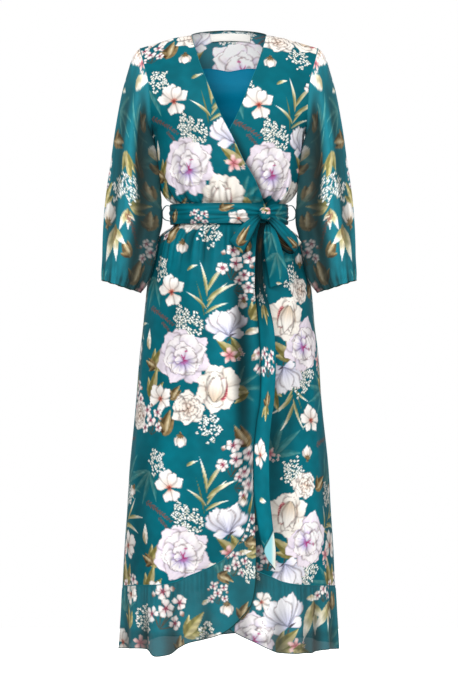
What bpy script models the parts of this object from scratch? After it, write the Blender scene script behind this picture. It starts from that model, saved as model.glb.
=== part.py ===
import bpy
import numpy as np

# A wrap dress, worn and hollow. Sizes are in millimetres here and become metres in the meshes.
# The origin is midway between the two side-neck points. The front faces -Y, and the wearer's
# left is +X. "right" and "left" in the names are the wearer's.
MILLIMETRE = 0.001
WALL = 1.4
SEAM_GAP = 0.3
OVERLAP_LIFT = 3.0
OVERLAP_SINK = 2.5
UNDERARM = 195.0
YOKE = 100.0
WAIST = 352.0
NECK_HALF = 75.0
NECK_BEHIND = 66.0
NECK_RISE = 20.0
SHOULDER_HALF = 177.0
CORNER_REACH = 0.2
WAIST_DIP = 8.0
RUFFLE_GAP = 0.3
STEEP_GAP = 2.4
RIDGE_GAP = 0.55
SLEEVE_OUT = 1.9
SLEEVE_UP = 4.4
TEAL = (0.006, 0.175, 0.215)
SHEER_TEAL = (0.012, 0.215, 0.255)
LINING_BLUE = (0.004, 0.155, 0.262)
CREAM = (0.86, 0.82, 0.72)


def table(names, rows):
    """A dictionary of columns from a table written row by row."""
    return dict(zip(names.split(), np.array(rows, float).T))


# The body form, by the drop below the shoulder ridge.
BODY = table(
    "drop side front back",
    [
        (0, 200, 0, 0),
        (3, 201, 13, 13),
        (10, 204, 25, 24),
        (30, 209, 48, 43),
        (60, 214, 66, 61),
        (100, 213, 82, 80),
        (150, 186, 98, 94),
        (176, 165, 105, 99),
        (195, 152, 110, 101),
        (228, 148.5, 117, 104),
        (260, 145.5, 116.5, 103),
        (288, 141.5, 112, 102),
        (303, 137, 108.5, 100),
        (316, 129, 104, 96),
        (324, 121.5, 98, 91),
        (329, 113.5, 92.5, 87),
        (334, 109.5, 90, 85.5),
        (352, 109, 90, 85),
        (366, 109, 90.5, 85.5),
        (374, 110.5, 92.5, 88),
        (380, 117.5, 97, 93),
        (387, 127, 101, 99),
        (398, 138.5, 105.5, 103.5),
        (418, 146.5, 110, 110),
        (455, 153.5, 114, 117),
        (489, 161.5, 118, 123),
        (530, 166.5, 120.5, 126),
        (573, 170.5, 122, 127),
        (630, 177.5, 124, 128),
        (700, 182.5, 126, 128),
        (784, 190.5, 130, 131),
        (872, 198.5, 135, 135),
        (983, 205.5, 142, 142),
        (1085, 211, 149, 150),
        (1152, 215, 154, 155),
        (1240, 217, 158, 160),
    ],
)
# The shoulder ridge seen from the front, and the armhole seams, by the drop below the ridge.
RIDGE = table(
    "out height",
    [(0, 4), (74, 3), (108, -2), (141, -12), (160, -17.5), (178, -23)],
)
ARMHOLE = table(
    "drop front back",
    [
        (0, 177, 177),
        (49, 166, 168),
        (75, 160, 163),
        (105, 157, 160),
        (150, 155, 156),
        (176, 153.5, 154),
        (195, 152, 152),
    ],
)
# Where the crossing edge of a bodice front lies, measured past the middle from its own side.
NECK_EDGE = table(
    "drop past",
    [
        (0, -74),
        (24, -69),
        (63, -58),
        (118, -36),
        (170, -15),
        (192, -4),
        (221, 11),
        (256, 28),
        (291, 50),
        (317, 62),
        (341, 73),
        (352, 78),
    ],
)
# The straight front edge of a skirt front below the waist, past the middle as above.
SKIRT_EDGE = table(
    "drop past",
    [
        (352, 78),
        (370, 70),
        (390, 62),
        (413, 57),
        (470, 61),
        (529, 62),
        (722, 62),
        (800, 58),
        (896, 47.5),
        (1240, 47.5),
    ],
)
# The seam between skirt and ruffle, by the angle from the middle towards the panel's own side.
RUFFLE_SEAM = table(
    "angle drop",
    [
        (-13.7, 895),
        (-12.2, 930),
        (-9, 968),
        (-5, 995),
        (0, 1018),
        (6, 1034),
        (13, 1047),
        (21, 1059),
        (30, 1073),
        (40, 1080),
        (50, 1083),
        (70, 1090),
        (90, 1097),
    ],
)
# The ruffle's hem below each point of its seam: the angle there and the drop.
RIGHT_HEM = table(
    "seam_angle angle drop",
    [
        (-13.7, -14.3, 1023),
        (-12.2, -13.8, 1070),
        (-9, -11.5, 1113),
        (-5, -6.9, 1135),
        (0, -0.5, 1158),
        (6, 5.5, 1171),
        (13, 12, 1179),
        (21, 20, 1186),
        (27, 26.5, 1198),
        (33, 33, 1213),
        (39, 39.5, 1217),
        (45, 45.5, 1209),
        (53, 53, 1207),
        (70, 70, 1213),
        (90, 90, 1220),
    ],
)
LEFT_HEM = table(
    "seam_angle angle drop",
    [
        (-13.7, -14.3, 1023),
        (-12.2, -13.8, 1070),
        (-9, -11.5, 1113),
        (-5, -6.9, 1135),
        (0, -0.5, 1158),
        (6, 5.5, 1172),
        (13, 13, 1185),
        (20, 20, 1198),
        (27, 27, 1208),
        (38, 38, 1211),
        (50, 50, 1214),
        (59, 59, 1211),
        (74, 74, 1216),
        (90, 90, 1221),
    ],
)
BODICE_ROWS = (0, 6, 24, 60, 110, 160, 200, 250, 292, 314, 325, 333, WAIST - SEAM_GAP / 2)
SKIRT_TOP_ROWS = (WAIST + SEAM_GAP, 366, 375, 383, 394, 420, 490)
BACK_SEAM_DROP = 1097.0
BACK_HEM_DROP = 1219.0
# Soft folds: each is a trough or a ridge at an angle from the middle front towards +X, which
# leans as it runs down. "height" is how far it stands out, and it fades at both ends.
BODICE_FOLDS = table(
    "angle lean width height start end",
    [
        (-76, 6, 4.5, 2.6, 262, 352),
        (-64, 6, 4.5, -2.4, 272, 352),
        (-54, 8, 4.5, 2.8, 255, 352),
        (-43, 8, 4.5, -2.4, 276, 352),
        (-33, 9, 4.5, 2.2, 266, 352),
        (-22, 9, 4.5, -1.8, 285, 352),
        (25, 330, 4, -1.6, 296, 352),
        (46, -9, 4.5, -2.2, 280, 352),
        (56, -8, 4.5, 2.6, 258, 352),
        (66, -7, 4.5, -2.4, 275, 352),
        (77, -6, 4.5, 2.4, 262, 352),
        (106, 4, 6, 2.6, 268, 352),
        (119, 4, 6, -2.6, 255, 352),
        (133, 3, 6, 2.8, 262, 352),
        (148, 2, 6, -2.4, 272, 352),
        (163, 1, 6, 2.6, 258, 352),
        (180, 0, 6, -2.6, 266, 352),
        (197, -1, 6, 2.4, 255, 352),
        (212, -2, 6, -2.6, 270, 352),
        (227, -3, 6, 2.8, 260, 352),
        (241, -4, 6, -2.4, 266, 352),
        (254, -4, 6, 2.4, 270, 352),
    ],
)
SKIRT_FOLDS = table(
    "angle lean width height start end",
    [
        (6.5, 5, 5, -8, 372, 905),
        (-6, 3, 8, 3, 380, 960),
        (-17, -3, 4, -2.2, 372, 470),
        (-24, -4, 4, 2.2, 372, 500),
        (-32, -4, 4, -2.4, 372, 455),
        (-47, -6, 6, 2.5, 372, 560),
        (-66, -3, 6, -2.5, 372, 520),
        (22, 4, 5, 2.4, 372, 520),
        (31, 3, 4.5, -2.4, 372, 470),
        (28, 2, 7, -4, 640, 1010),
        (44, 3, 6, 2.6, 372, 540),
        (62, 3, 6, -2.6, 372, 500),
        (-38, 0, 11, 3.5, 700, 1090),
        (-62, 0, 10, -3, 800, 1090),
        (52, 0, 11, 3.5, 760, 1090),
        (74, 0, 9, -2.5, 800, 1090),
        (106, 0, 6, 3, 372, 560),
        (120, 0, 6, -3, 372, 480),
        (134, 0, 6, 3, 372, 620),
        (149, 0, 6, -3, 372, 500),
        (165, 0, 6, 3, 372, 560),
        (180, 0, 6, -3, 372, 640),
        (195, 0, 6, 3, 372, 560),
        (211, 0, 6, -3, 372, 500),
        (226, 0, 6, 3, 372, 620),
        (240, 0, 6, -3, 372, 480),
        (254, 0, 6, 3, 372, 560),
        (122, 4, 11, -6, 560, 1090),
        (146, 2, 11, 6, 640, 1090),
        (172, 0, 12, -7, 560, 1090),
        (199, -2, 11, 6, 620, 1090),
        (222, -3, 11, -6, 580, 1090),
        (244, -4, 10, 4, 680, 1090),
    ],
)
# Ruffle waves, by angle. They grow from the seam and are full at the hem.
RUFFLE_WAVES = table(
    "angle width height",
    [
        (-81, 4.5, 5),
        (-70, 4.5, -5),
        (-60, 4, 6),
        (-50, 3.5, -7),
        (-41, 4, 9),
        (-31, 4, -6),
        (-21, 4, 6),
        (-12, 3, -8),
        (-3, 4, 5),
        (7, 4, -5),
        (17, 4, 5),
        (27, 4, -5),
        (36, 4, 7),
        (44, 3.5, -5),
        (53, 3.5, -8),
        (61, 4, 7),
        (71, 4.5, -5),
        (81, 4.5, 5),
        (97, 4.5, -5),
        (108, 4.5, 8),
        (120, 4.5, -8),
        (131, 4.5, 9),
        (142, 4.5, -7),
        (152, 4.5, 8),
        (164, 5, -9),
        (176, 5, 8),
        (187, 4.5, -7),
        (198, 4.5, 9),
        (209, 4.5, -8),
        (219, 4.5, 7),
        (230, 4.5, -9),
        (241, 4.5, 8),
        (252, 4.5, -7),
        (263, 4.5, 5),
    ],
)
# Rings of a sleeve: its outer and inner line, its half depth front to back and its middle.
SLEEVE = table(
    "outer_x outer_z inner_x inner_z half_depth middle_y",
    [
        (178.2, -23, 153, -194, 53, 0),
        (187, -31, 156.5, -202, 55, 0),
        (195, -47, 157, -213, 57, 1),
        (203.5, -75, 156.5, -226, 59, 2),
        (213, -110, 155.5, -241, 61, 3),
        (221, -152, 153.5, -259, 63, 3),
        (228.5, -197, 150, -284, 65, 2),
        (235, -247, 145, -313, 66, 0),
        (241, -292, 139, -342, 66, -5),
        (246.5, -345, 141.5, -374, 65, -11),
        (250, -398, 150.5, -410, 62, -17),
        (251.5, -438, 157, -446, 57, -21),
        (252.5, -468, 164, -484, 47, -22),
        (252, -487, 176.5, -511, 38.5, -21),
    ],
)
SLEEVE_FOLDS = table(
    "angle width height start end",
    [
        (52, 16, -3.5, 1.5, 12),
        (84, 14, 3.5, 2, 12.5),
        (118, 15, -5, 1, 12.5),
        (150, 14, 4, 2.5, 12.5),
        (205, 16, -3, 3, 12.5),
        (238, 15, 3.5, 2, 12.5),
        (272, 15, -4.5, 1.5, 12),
        (305, 15, 3.5, 2.5, 12.5),
        (340, 14, -3, 4, 12.5),
    ],
)
CUFF_GATHERS = 12
CUFF_GATHER_HEIGHT = 2.6
# The sash: its ring, then the strips of its bow. Each row of a strip gives the middle of a
# section, half its width, which way the width runs and how far the section cups forward.
SASH = {"top": 331.5, "bottom": 371.5, "side": 117.2, "front": 101.0, "back": 93.5}
STRIP_COLUMNS = "x y z half turn swing cup"
LOOP_RIGHT = table(
    STRIP_COLUMNS,
    [
        (60, -101, -366, 6, 128, 0, 1),
        (51, -113, -375, 9, 130, 0, 3),
        (38, -124, -391, 14, 132, 4, 4),
        (25, -131, -410, 17, 134, 6, 4),
        (17, -131.5, -423, 18, 136, 8, 3),
        (13.5, -127.5, -427.5, 18, 137, 8, 0),
        (15.5, -123.5, -424, 18, 136, 8, -1),
        (24, -121, -409, 16, 134, 6, -1),
        (38, -114, -391, 12, 132, 4, -1),
        (51, -106, -375, 8, 130, 0, 0),
    ],
)
LOOP_LEFT = table(
    STRIP_COLUMNS,
    [
        (79, -98, -371, 6, 48, -10, 1),
        (90, -105, -380, 9, 46, -20, 3),
        (106, -109, -396, 13, 42, -38, 4),
        (121, -106, -412, 15, 40, -48, 4),
        (131, -98, -423, 16, 40, -52, 2),
        (133.5, -91, -426.5, 16, 40, -52, 0),
        (129.5, -85.5, -424, 16, 40, -52, -2),
        (118, -83.5, -411, 15, 40, -46, -4),
        (102, -86, -394, 12, 42, -34, -3),
        (89, -89.5, -380, 8, 46, -18, -1),
    ],
)
TAIL_SHORT = table(
    STRIP_COLUMNS,
    [
        (75, -102, -385, 5, 8, 0, 2),
        (79, -109, -402, 9, 8, 6, 3),
        (86, -113, -428, 14, 9, 10, 4),
        (94, -114, -456, 18, 10, 14, 3),
        (103, -113, -484, 21, 12, 16, 2),
        (107, -112, -499, 21.5, 22, 16, 1),
    ],
)
TAIL_LONG = table(
    STRIP_COLUMNS,
    [
        (66, -104, -379, 5, 0, 0, 2),
        (60, -117, -412, 6, 0, 4, 3),
        (57.5, -123, -450, 6.5, 2, 8, 4),
        (58, -126, -500, 8, 3, 10, 4),
        (66, -128, -545, 13, 4, 12, 4),
        (73, -127, -600, 15.5, 3, 14, 5),
        (75.5, -128, -660, 15, 0, 14, 5),
        (73.5, -129, -720, 14, -3, 12, 4),
        (66, -135, -770, 14.5, -3, 10, 4),
        (61.5, -139, -830, 15.5, 0, 8, 4),
        (61, -144, -890, 16, 2, 8, 4),
        (63, -148, -945, 16.5, 6, 8, 3),
        (70, -152, -990, 14, 28, 10, 2),
        (77, -154, -1012, 8, 45, 12, 1),
    ],
)
KNOT = {
    "middle": (70.0, -96.5, -360.0),
    "half": (9.5, 8.0, 12.5),
    "grooves": 3,
    "groove_depth": 0.7,
}
THREAD_RADIUS = 0.9
THREAD_PATH = table(
    "out drop",
    [(124.5, 327), (128.5, 337), (131.5, 348), (132.5, 360), (131, 371), (127, 381)],
)
# The label and the lining lie on the back of the bodice, so many millimetres inside it. Their
# sides are shares of the back's half width, and their rows are those of the back's form.
LABEL = {"from": -0.178, "to": 0.213, "top": 0.175, "bottom": 0.36, "inside": 3.3, "wall": 1.0}
LINING = {"reach": 0.9, "inside": 5.5, "bottom": 330.0}
LINING_TOP = table(
    "side row",
    [(0, 0.787), (0.23, 0.742), (0.5, 0.76), (0.75, 0.86), (0.9, 1.02)],
)


def along(columns, key, name, where):
    """A column at any place: a smooth curve through the rows that never overshoots them."""
    x = columns[key]
    y = columns[name]
    steps = np.diff(x)
    slopes = np.diff(y) / steps
    same_way = slopes[:-1] * slopes[1:] > 0
    first = 2 * steps[1:] + steps[:-1]
    second = steps[1:] + 2 * steps[:-1]
    safe_left = np.where(same_way, slopes[:-1], 1.0)
    safe_right = np.where(same_way, slopes[1:], 1.0)
    blended = (first + second) / (first / safe_left + second / safe_right)
    inner = np.where(same_way, blended, 0.0)
    tangents = np.concatenate([slopes[:1], inner, slopes[-1:]])
    place = np.clip(where, x[0], x[-1])
    i = np.clip(np.searchsorted(x, place, side="right") - 1, 0, len(steps) - 1)
    t = (place - x[i]) / steps[i]
    rise = y[i] * (2 * t**3 - 3 * t**2 + 1) + y[i + 1] * (3 * t**2 - 2 * t**3)
    bend = tangents[i] * (t**3 - 2 * t**2 + t) + tangents[i + 1] * (t**3 - t**2)
    return rise + steps[i] * bend


def ease(value, start, end):
    """0 before the start, 1 past the end, and an even S between."""
    t = np.clip((value - start) / (end - start), 0, 1)
    return t * t * (3 - 2 * t)


def mix(a, b, share):
    return a + (b - a) * share


def wrapped(difference):
    """An angle difference brought between -180 and 180 degrees."""
    return (difference + 180) % 360 - 180


def folds(columns, angle, drop):
    """How far the folds of a table lift the cloth at an angle and a drop."""
    height = np.zeros(np.broadcast(angle, drop).shape)
    for row in range(len(columns["angle"])):
        start = columns["start"][row]
        end = columns["end"][row]
        leaned = columns["angle"][row] + columns["lean"][row] * (drop - start) / 1000
        across = wrapped(angle - leaned) / columns["width"][row]
        share = np.clip((drop - start) / (end - start), 0, 1)
        height += columns["height"][row] * np.exp(-across**2) * np.sin(np.pi * share) ** 0.8
    return height


def waves(angle, drop):
    """How far the ruffle's waves lift it, from nothing above its seam to full at the hem."""
    height = np.zeros(np.broadcast(angle, drop).shape)
    for row in range(len(RUFFLE_WAVES["angle"])):
        across = wrapped(angle - RUFFLE_WAVES["angle"][row]) / RUFFLE_WAVES["width"][row]
        height += RUFFLE_WAVES["height"][row] * np.exp(-across**2)
    return height * (0.12 * ease(drop, 960, 1090) + 0.88 * ease(drop, 1070, 1235))


def normals(surface, u, v):
    """Unit normals of a surface of two parameters, by small differences."""
    step = 1e-3
    low = np.maximum(v - step, 0)
    across = surface(u + step, v) - surface(u - step, v)
    down = surface(u, v + step) - surface(u, low)
    normal = np.cross(down, across)
    return normal / np.linalg.norm(normal, axis=-1, keepdims=True)


def moved_out(surface, u, v, distance):
    """Points of a surface, moved along its normals."""
    return surface(u, v) + normals(surface, u, v) * np.asarray(distance)[..., None]


def body(angle, drop):
    """The form below the ridge: an ellipse at each drop, from the middle front towards +X."""
    turn = np.radians(angle)
    side = along(BODY, "drop", "side", drop)
    front = along(BODY, "drop", "front", drop)
    back = along(BODY, "drop", "back", drop)
    depth = np.where(np.cos(turn) > 0, front, back)
    x = side * np.sin(turn)
    y = -depth * np.cos(turn)
    ridge = along(RIDGE, "out", "height", np.abs(x)) * (1 - ease(drop, 0, UNDERARM))
    dip = WAIST_DIP * (1 + np.cos(turn)) / 2 * np.exp(-(((drop - WAIST) / 80) ** 2))
    return np.stack([x, y, ridge - drop - dip], -1)


def angle_at(out, drop):
    """The angle at which the form is that far out to the side."""
    side = along(BODY, "drop", "side", drop)
    return np.degrees(np.arcsin(np.clip(out / side, -1, 1)))


def bodice_angle(share, drop):
    """The angle across a right bodice front, from its armhole or side seam to its edge."""
    seam = np.where(drop < UNDERARM, angle_at(along(ARMHOLE, "drop", "front", drop), drop), 90.0)
    edge = angle_at(along(NECK_EDGE, "drop", "past", drop), drop)
    return mix(-seam, edge, share)


def skirt_angle(share, drop):
    """The angle across a right skirt front, from its side seam to its front edge."""
    edge = angle_at(along(SKIRT_EDGE, "drop", "past", drop), drop)
    return mix(-90.0, edge, share)


def crossing(drop):
    """How far past the middle the fronts' edges lie, as an angle."""
    bodice_edge = angle_at(along(NECK_EDGE, "drop", "past", drop), drop)
    skirt_edge = angle_at(along(SKIRT_EDGE, "drop", "past", drop), drop)
    return np.where(drop < WAIST, bodice_edge, skirt_edge)


def over_lift(angle, drop):
    """The right fronts lie on the left ones wherever the two can meet."""
    edge = -crossing(drop)
    return OVERLAP_LIFT * ease(drop, 110, 180) * ease(angle, edge - 24, edge - 4)


def under_lift(angle, drop):
    """The left fronts sink a little where they are covered."""
    edge = crossing(drop)
    return -OVERLAP_SINK * ease(drop, 150, 215) * (1 - ease(angle, edge - 6, edge + 3))


def relief(angle, drop):
    return folds(BODICE_FOLDS, angle, drop) + folds(SKIRT_FOLDS, angle, drop) + waves(angle, drop)


def parting(drop):
    """Half the gap between front and back, wider at the ridge, where they slope apart."""
    return mix(RIDGE_GAP, SEAM_GAP / 2, ease(drop, 0, 30))


def front_cloth(angle, drop, lift):
    """A front: the form moved out by its folds and its place in the wrap."""
    points = moved_out(body, angle, drop, relief(angle, drop) + lift(angle, drop))
    points[..., 1] -= parting(drop)
    return points


def top_line(side):
    """Neckline and shoulder seams of the back, from one shoulder point to the other."""
    share = np.abs(side)
    neck_out = NECK_HALF * np.sin(np.pi * np.clip(share, 0, 0.5))
    shoulder_out = mix(NECK_HALF, SHOULDER_HALF, (share - 0.5) / 0.5)
    out = np.where(share < 0.5, neck_out, shoulder_out)
    behind = np.where(share < 0.5, NECK_BEHIND * np.cos(np.pi * np.clip(share, 0, 0.5)), 0.0)
    height = along(RIDGE, "out", "height", out) + NECK_RISE * behind / NECK_BEHIND
    return np.stack([np.sign(side) * out, behind, height], -1)


def soft_top_line(side, row):
    """The top line, whose corners at the side neck grow rounder down the back."""
    reach = CORNER_REACH * ease(row, 0, 0.45) * (1 - ease(np.abs(side), 0.7, 1))
    steps = (-1, -0.5, 0, 0.5, 1)
    return sum(top_line(side + reach * step) for step in steps) / len(steps)


def back_angle(side, drop):
    """The angle of a column of the back, evenly spaced below the armholes."""
    level = np.minimum(drop, UNDERARM)
    edge = along(ARMHOLE, "drop", "back", level)
    top = top_line(side)[..., 0] / SHOULDER_HALF
    ratio = mix(top, np.sin(np.pi / 2 * side), ease(drop, 0, UNDERARM))
    upper = angle_at(ratio * edge, level)
    return 180 - np.where(drop < UNDERARM, upper, 90 * side)


def drop_of_row(row):
    """Row 0 is the top line, row 1 the yoke level, and 160 mm a row below it."""
    return np.where(row < 1, YOKE, YOKE + (row - 1) * 160)


def back_form(side, row):
    """The back: a quarter oval from the top line to the yoke level, then the form."""
    drop = drop_of_row(row)
    lower = body(back_angle(side, drop), drop)
    turn = np.radians(90 * np.clip(row, 0, 1))
    top = soft_top_line(side, row)
    x = mix(top[..., 0], lower[..., 0], 1 - np.cos(turn))
    y = mix(top[..., 1], lower[..., 1], np.sin(turn))
    z = mix(lower[..., 2], top[..., 2], np.cos(turn))
    upper = np.stack([x, y, z], -1)
    return np.where((row < 1)[..., None], upper, lower)


def back_cloth(side, row, inside=0.0):
    """The back of the bodice with its folds, or a smooth layer inside it."""
    drop = drop_of_row(row)
    lift = -inside if inside else relief(back_angle(side, drop), drop) * (row > 1)
    points = moved_out(back_form, side, row, -lift + 0 * row)
    points[..., 1] += mix(RIDGE_GAP, SEAM_GAP / 2, ease(row, 0, 0.6))
    return points


def mesh_object(name, points, triangles, colour, roughness):
    mesh = bpy.data.meshes.new(name)
    mesh.from_pydata((points * MILLIMETRE).tolist(), [], triangles.tolist())
    mesh.shade_smooth()
    mesh.set_sharp_from_angle(angle=np.radians(50))
    material = bpy.data.materials.new(name)
    material.use_nodes = True
    shader = material.node_tree.nodes["Principled BSDF"]
    shader.inputs["Base Color"].default_value = (*colour, 1)
    shader.inputs["Roughness"].default_value = roughness
    shader.inputs["Metallic"].default_value = 0
    mesh.materials.append(material)
    thing = bpy.data.objects.new(name, mesh)
    bpy.context.scene.collection.objects.link(thing)
    return thing


def cloth_object(name, points, colour=TEAL, closed=False, wall=WALL, turned=False):
    """A grid of points, rows down and columns round, made a wall by Solidify."""
    rows, columns = points.shape[:2]
    index = np.arange(rows * columns).reshape(rows, columns)
    if closed:
        index = np.hstack([index, index[:, :1]])
    if turned:
        index = index[:, ::-1]
    here, beside = index[:-1, :-1], index[:-1, 1:]
    below, across = index[1:, :-1], index[1:, 1:]
    halves = [np.stack([here, below, across], -1), np.stack([here, across, beside], -1)]
    triangles = np.concatenate(halves).reshape(-1, 3)
    thing = mesh_object(name, points.reshape(-1, 3), triangles, colour, 0.55)
    solidify = thing.modifiers.new("Wall", "SOLIDIFY")
    solidify.thickness = wall * MILLIMETRE
    solidify.offset = 0
    return thing


def grid(rows, columns, closed=False):
    """Parameters of a grid: v runs down the rows and u across the columns, 0 to 1."""
    u = np.linspace(0, 1, columns + 1)
    if closed:
        u = u[:-1]
    return np.meshgrid(u, np.linspace(0, 1, rows + 1))


def bodice_front(name, columns, mirrored, lift):
    share, row = grid(len(BODICE_ROWS) - 1, columns)
    drop = np.array(BODICE_ROWS)[:, None] + 0 * row
    angle = bodice_angle(share, drop)
    side = -1 if mirrored else 1
    points = front_cloth(side * angle, drop, lift)
    return cloth_object(name, points, turned=mirrored)


def skirt_front(name, columns, rows, mirrored, lift):
    share, row = grid(rows, columns)
    edge_angle = angle_at(np.interp(900, SKIRT_EDGE["drop"], SKIRT_EDGE["past"]), 900)
    seam_angle = mix(90.0, -edge_angle, share)
    bottom = along(RUFFLE_SEAM, "angle", "drop", seam_angle) - ruffle_parting(seam_angle)
    drop = skirt_drops(bottom[0], rows)
    angle = skirt_angle(share, drop)
    angle = mix(angle, -seam_angle, ease(drop, 700, 895))
    side = -1 if mirrored else 1
    points = front_cloth(side * angle, drop, lift)
    return cloth_object(name, points, turned=mirrored)


def ruffle_parting(seam_angle):
    """Half the drop between skirt and ruffle, larger where their seam runs steeply."""
    return RUFFLE_GAP / 2 + STEEP_GAP / 2 * (1 - ease(seam_angle, -9, 4))


def skirt_drops(bottom, rows):
    """Rows close together where the skirt flares out below the sash, then even ones."""
    top = np.array(SKIRT_TOP_ROWS)[:, None] + 0 * bottom
    share = np.linspace(0, 1, rows - len(SKIRT_TOP_ROWS) + 2)[1:, None]
    return np.concatenate([top, mix(top[-1], bottom, share)])


def ruffle_front(name, columns, rows, mirrored, lift, hem):
    share, row = grid(rows, columns)
    seam_angle = mix(90.0, -13.7, share)
    seam = along(RUFFLE_SEAM, "angle", "drop", seam_angle) + ruffle_parting(seam_angle)
    angle = -mix(seam_angle, along(hem, "seam_angle", "angle", seam_angle), row)
    drop = mix(seam, along(hem, "seam_angle", "drop", seam_angle), row)
    side = -1 if mirrored else 1
    points = front_cloth(side * angle, drop, lift)
    return cloth_object(name, points, SHEER_TEAL, turned=mirrored)


def back_bodice(columns):
    share, row = grid(len(BODICE_ROWS) - 1, columns)
    yoke_rows = np.arccos(np.clip(1 - np.array(BODICE_ROWS) / YOKE, 0, 1)) / (np.pi / 2)
    lower_rows = 1 + (np.array(BODICE_ROWS) - YOKE) / 160
    place = np.where(np.array(BODICE_ROWS) < YOKE, yoke_rows, lower_rows)[:, None]
    return cloth_object("back_bodice", back_cloth(mix(1.0, -1.0, share), place + 0 * row))


def back_lining(columns, rows):
    share, row = grid(rows, columns)
    side = mix(LINING["reach"], -LINING["reach"], share)
    last = 1 + (LINING["bottom"] - YOKE) / 160
    top = along(LINING_TOP, "side", "row", np.abs(side))
    points = back_cloth(side, mix(top, last, row), LINING["inside"])
    return cloth_object("back_lining", points, LINING_BLUE)


def neck_label(columns, rows):
    share, row = grid(rows, columns)
    side = mix(LABEL["to"], LABEL["from"], share)
    points = back_cloth(side, mix(LABEL["top"], LABEL["bottom"], row), LABEL["inside"])
    return cloth_object("neck_label", points, CREAM, wall=LABEL["wall"])


def skirt_back(columns, rows):
    share, row = grid(rows, columns)
    drop = skirt_drops(0 * share[0] + BACK_SEAM_DROP - RUFFLE_GAP / 2, rows)
    angle = mix(90.0, 270.0, share)
    points = moved_out(body, angle, drop, relief(angle, drop))
    points[..., 1] += SEAM_GAP / 2
    return cloth_object("skirt_back", points)


def ruffle_back(columns, rows):
    share, row = grid(rows, columns)
    drop = mix(BACK_SEAM_DROP + RUFFLE_GAP / 2, BACK_HEM_DROP, row)
    angle = mix(90.0, 270.0, share)
    points = moved_out(body, angle, drop, relief(angle, drop))
    points[..., 1] += SEAM_GAP / 2
    return cloth_object("ruffle_back", points, SHEER_TEAL)


def armhole_loop(turn):
    """The right armhole seam: shoulder point at 0 degrees, front at 90, underarm at 180."""
    drop = UNDERARM / 2 * (1 - np.cos(np.radians(turn)))
    front = body(-angle_at(along(ARMHOLE, "drop", "front", drop), drop), drop)
    yoke_row = np.arccos(np.clip(1 - drop / YOKE, -1, 1)) / (np.pi / 2)
    row = np.where(drop < YOKE, yoke_row, 1 + (drop - YOKE) / 160)
    back = back_form(-np.ones_like(row), row)
    return np.where((turn < 180)[..., None], front, back)


def ring_point(turn, row):
    """A point of a right sleeve's rings, by the turn round the arm and the row down it."""
    places = {**SLEEVE, "row": np.arange(len(SLEEVE["outer_x"]), dtype=float)}
    outer_x, outer_z, inner_x, inner_z, depth, middle = [
        along(places, "row", name, row)
        for name in ("outer_x", "outer_z", "inner_x", "inner_z", "half_depth", "middle_y")
    ]
    out = (1 + np.cos(np.radians(turn))) / 2
    x = -mix(inner_x, outer_x, out)
    z = mix(inner_z, outer_z, out)
    return np.stack([x, middle - depth * np.sin(np.radians(turn)), z], -1)


def sleeve_form(turn, row):
    """The rings, drawn into the armhole seam over the first rows and parted from it."""
    turn = turn % 360
    loop = armhole_loop(turn)
    under = ease(-loop[..., 2], 120, UNDERARM)
    loop = loop + np.stack([SLEEVE_OUT * (0.2 * under - 1), 0 * under, SLEEVE_UP * under], -1)
    start = ring_point(turn, 0 * row)
    return ring_point(turn, row) + (loop - start) * (1 - ease(row, 0, 3.2))[..., None]


def sleeve(name, columns, rows, mirrored):
    share, row = grid(rows, columns, closed=True)
    turn = 360 * share
    last = len(SLEEVE["outer_x"]) - 1
    places = table(
        "share row",
        [(0, 0), (0.1, 0.9), (0.35, 4), (0.7, 9), (0.86, 11.6), (0.94, 12.5), (1, last)],
    )
    place = along(places, "share", "row", row)
    height = np.zeros_like(turn)
    for fold in range(len(SLEEVE_FOLDS["angle"])):
        across = wrapped(turn - SLEEVE_FOLDS["angle"][fold]) / SLEEVE_FOLDS["width"][fold]
        start = SLEEVE_FOLDS["start"][fold]
        length = SLEEVE_FOLDS["end"][fold] - start
        down = np.clip((place - start) / length, 0, 1)
        height += SLEEVE_FOLDS["height"][fold] * np.exp(-across**2) * np.sin(np.pi * down)
    gathers = np.sin(np.radians(turn) * CUFF_GATHERS) * ease(place, 10.8, 12.7)
    height += CUFF_GATHER_HEIGHT * gathers * (1 - 0.55 * ease(place, 12.4, last))
    points = moved_out(sleeve_form, turn, place, height)
    if mirrored:
        points[..., 0] *= -1
    return cloth_object(name, points, SHEER_TEAL, closed=True, turned=mirrored)


def sash_ring(columns, rows):
    share, row = grid(rows, columns, closed=True)
    turn = np.radians(360 * share)
    depth = np.where(np.cos(turn) > 0, SASH["front"], SASH["back"])
    bow = 1 + 0.008 * np.sin(np.pi * row)
    drop = mix(SASH["top"], SASH["bottom"], row)
    x = SASH["side"] * np.sin(turn) * bow
    y = -depth * np.cos(turn) * bow
    z = -drop - WAIST_DIP * (1 + np.cos(turn)) / 2
    return cloth_object("sash_belt", np.stack([x, y, z], -1), closed=True)


def strip(name, columns, across, down):
    """A strip of the sash: straight or cupped sections carried along its middle line."""
    share, row = grid(down, across)
    places = {**columns, "row": np.arange(len(columns["x"])) / (len(columns["x"]) - 1)}
    x, y, z, half, turn, swing, cup = [
        along(places, "row", column, row) for column in STRIP_COLUMNS.split()
    ]
    side = (2 * share - 1) * half
    turn = np.radians(turn)
    swing = np.radians(swing)
    x = x + side * np.cos(turn) * np.cos(swing)
    z = z + side * np.sin(turn)
    y = y - side * np.cos(turn) * np.sin(swing) - cup * (1 - (2 * share - 1) ** 2)
    return cloth_object(name, np.stack([x, y, z], -1))


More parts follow.
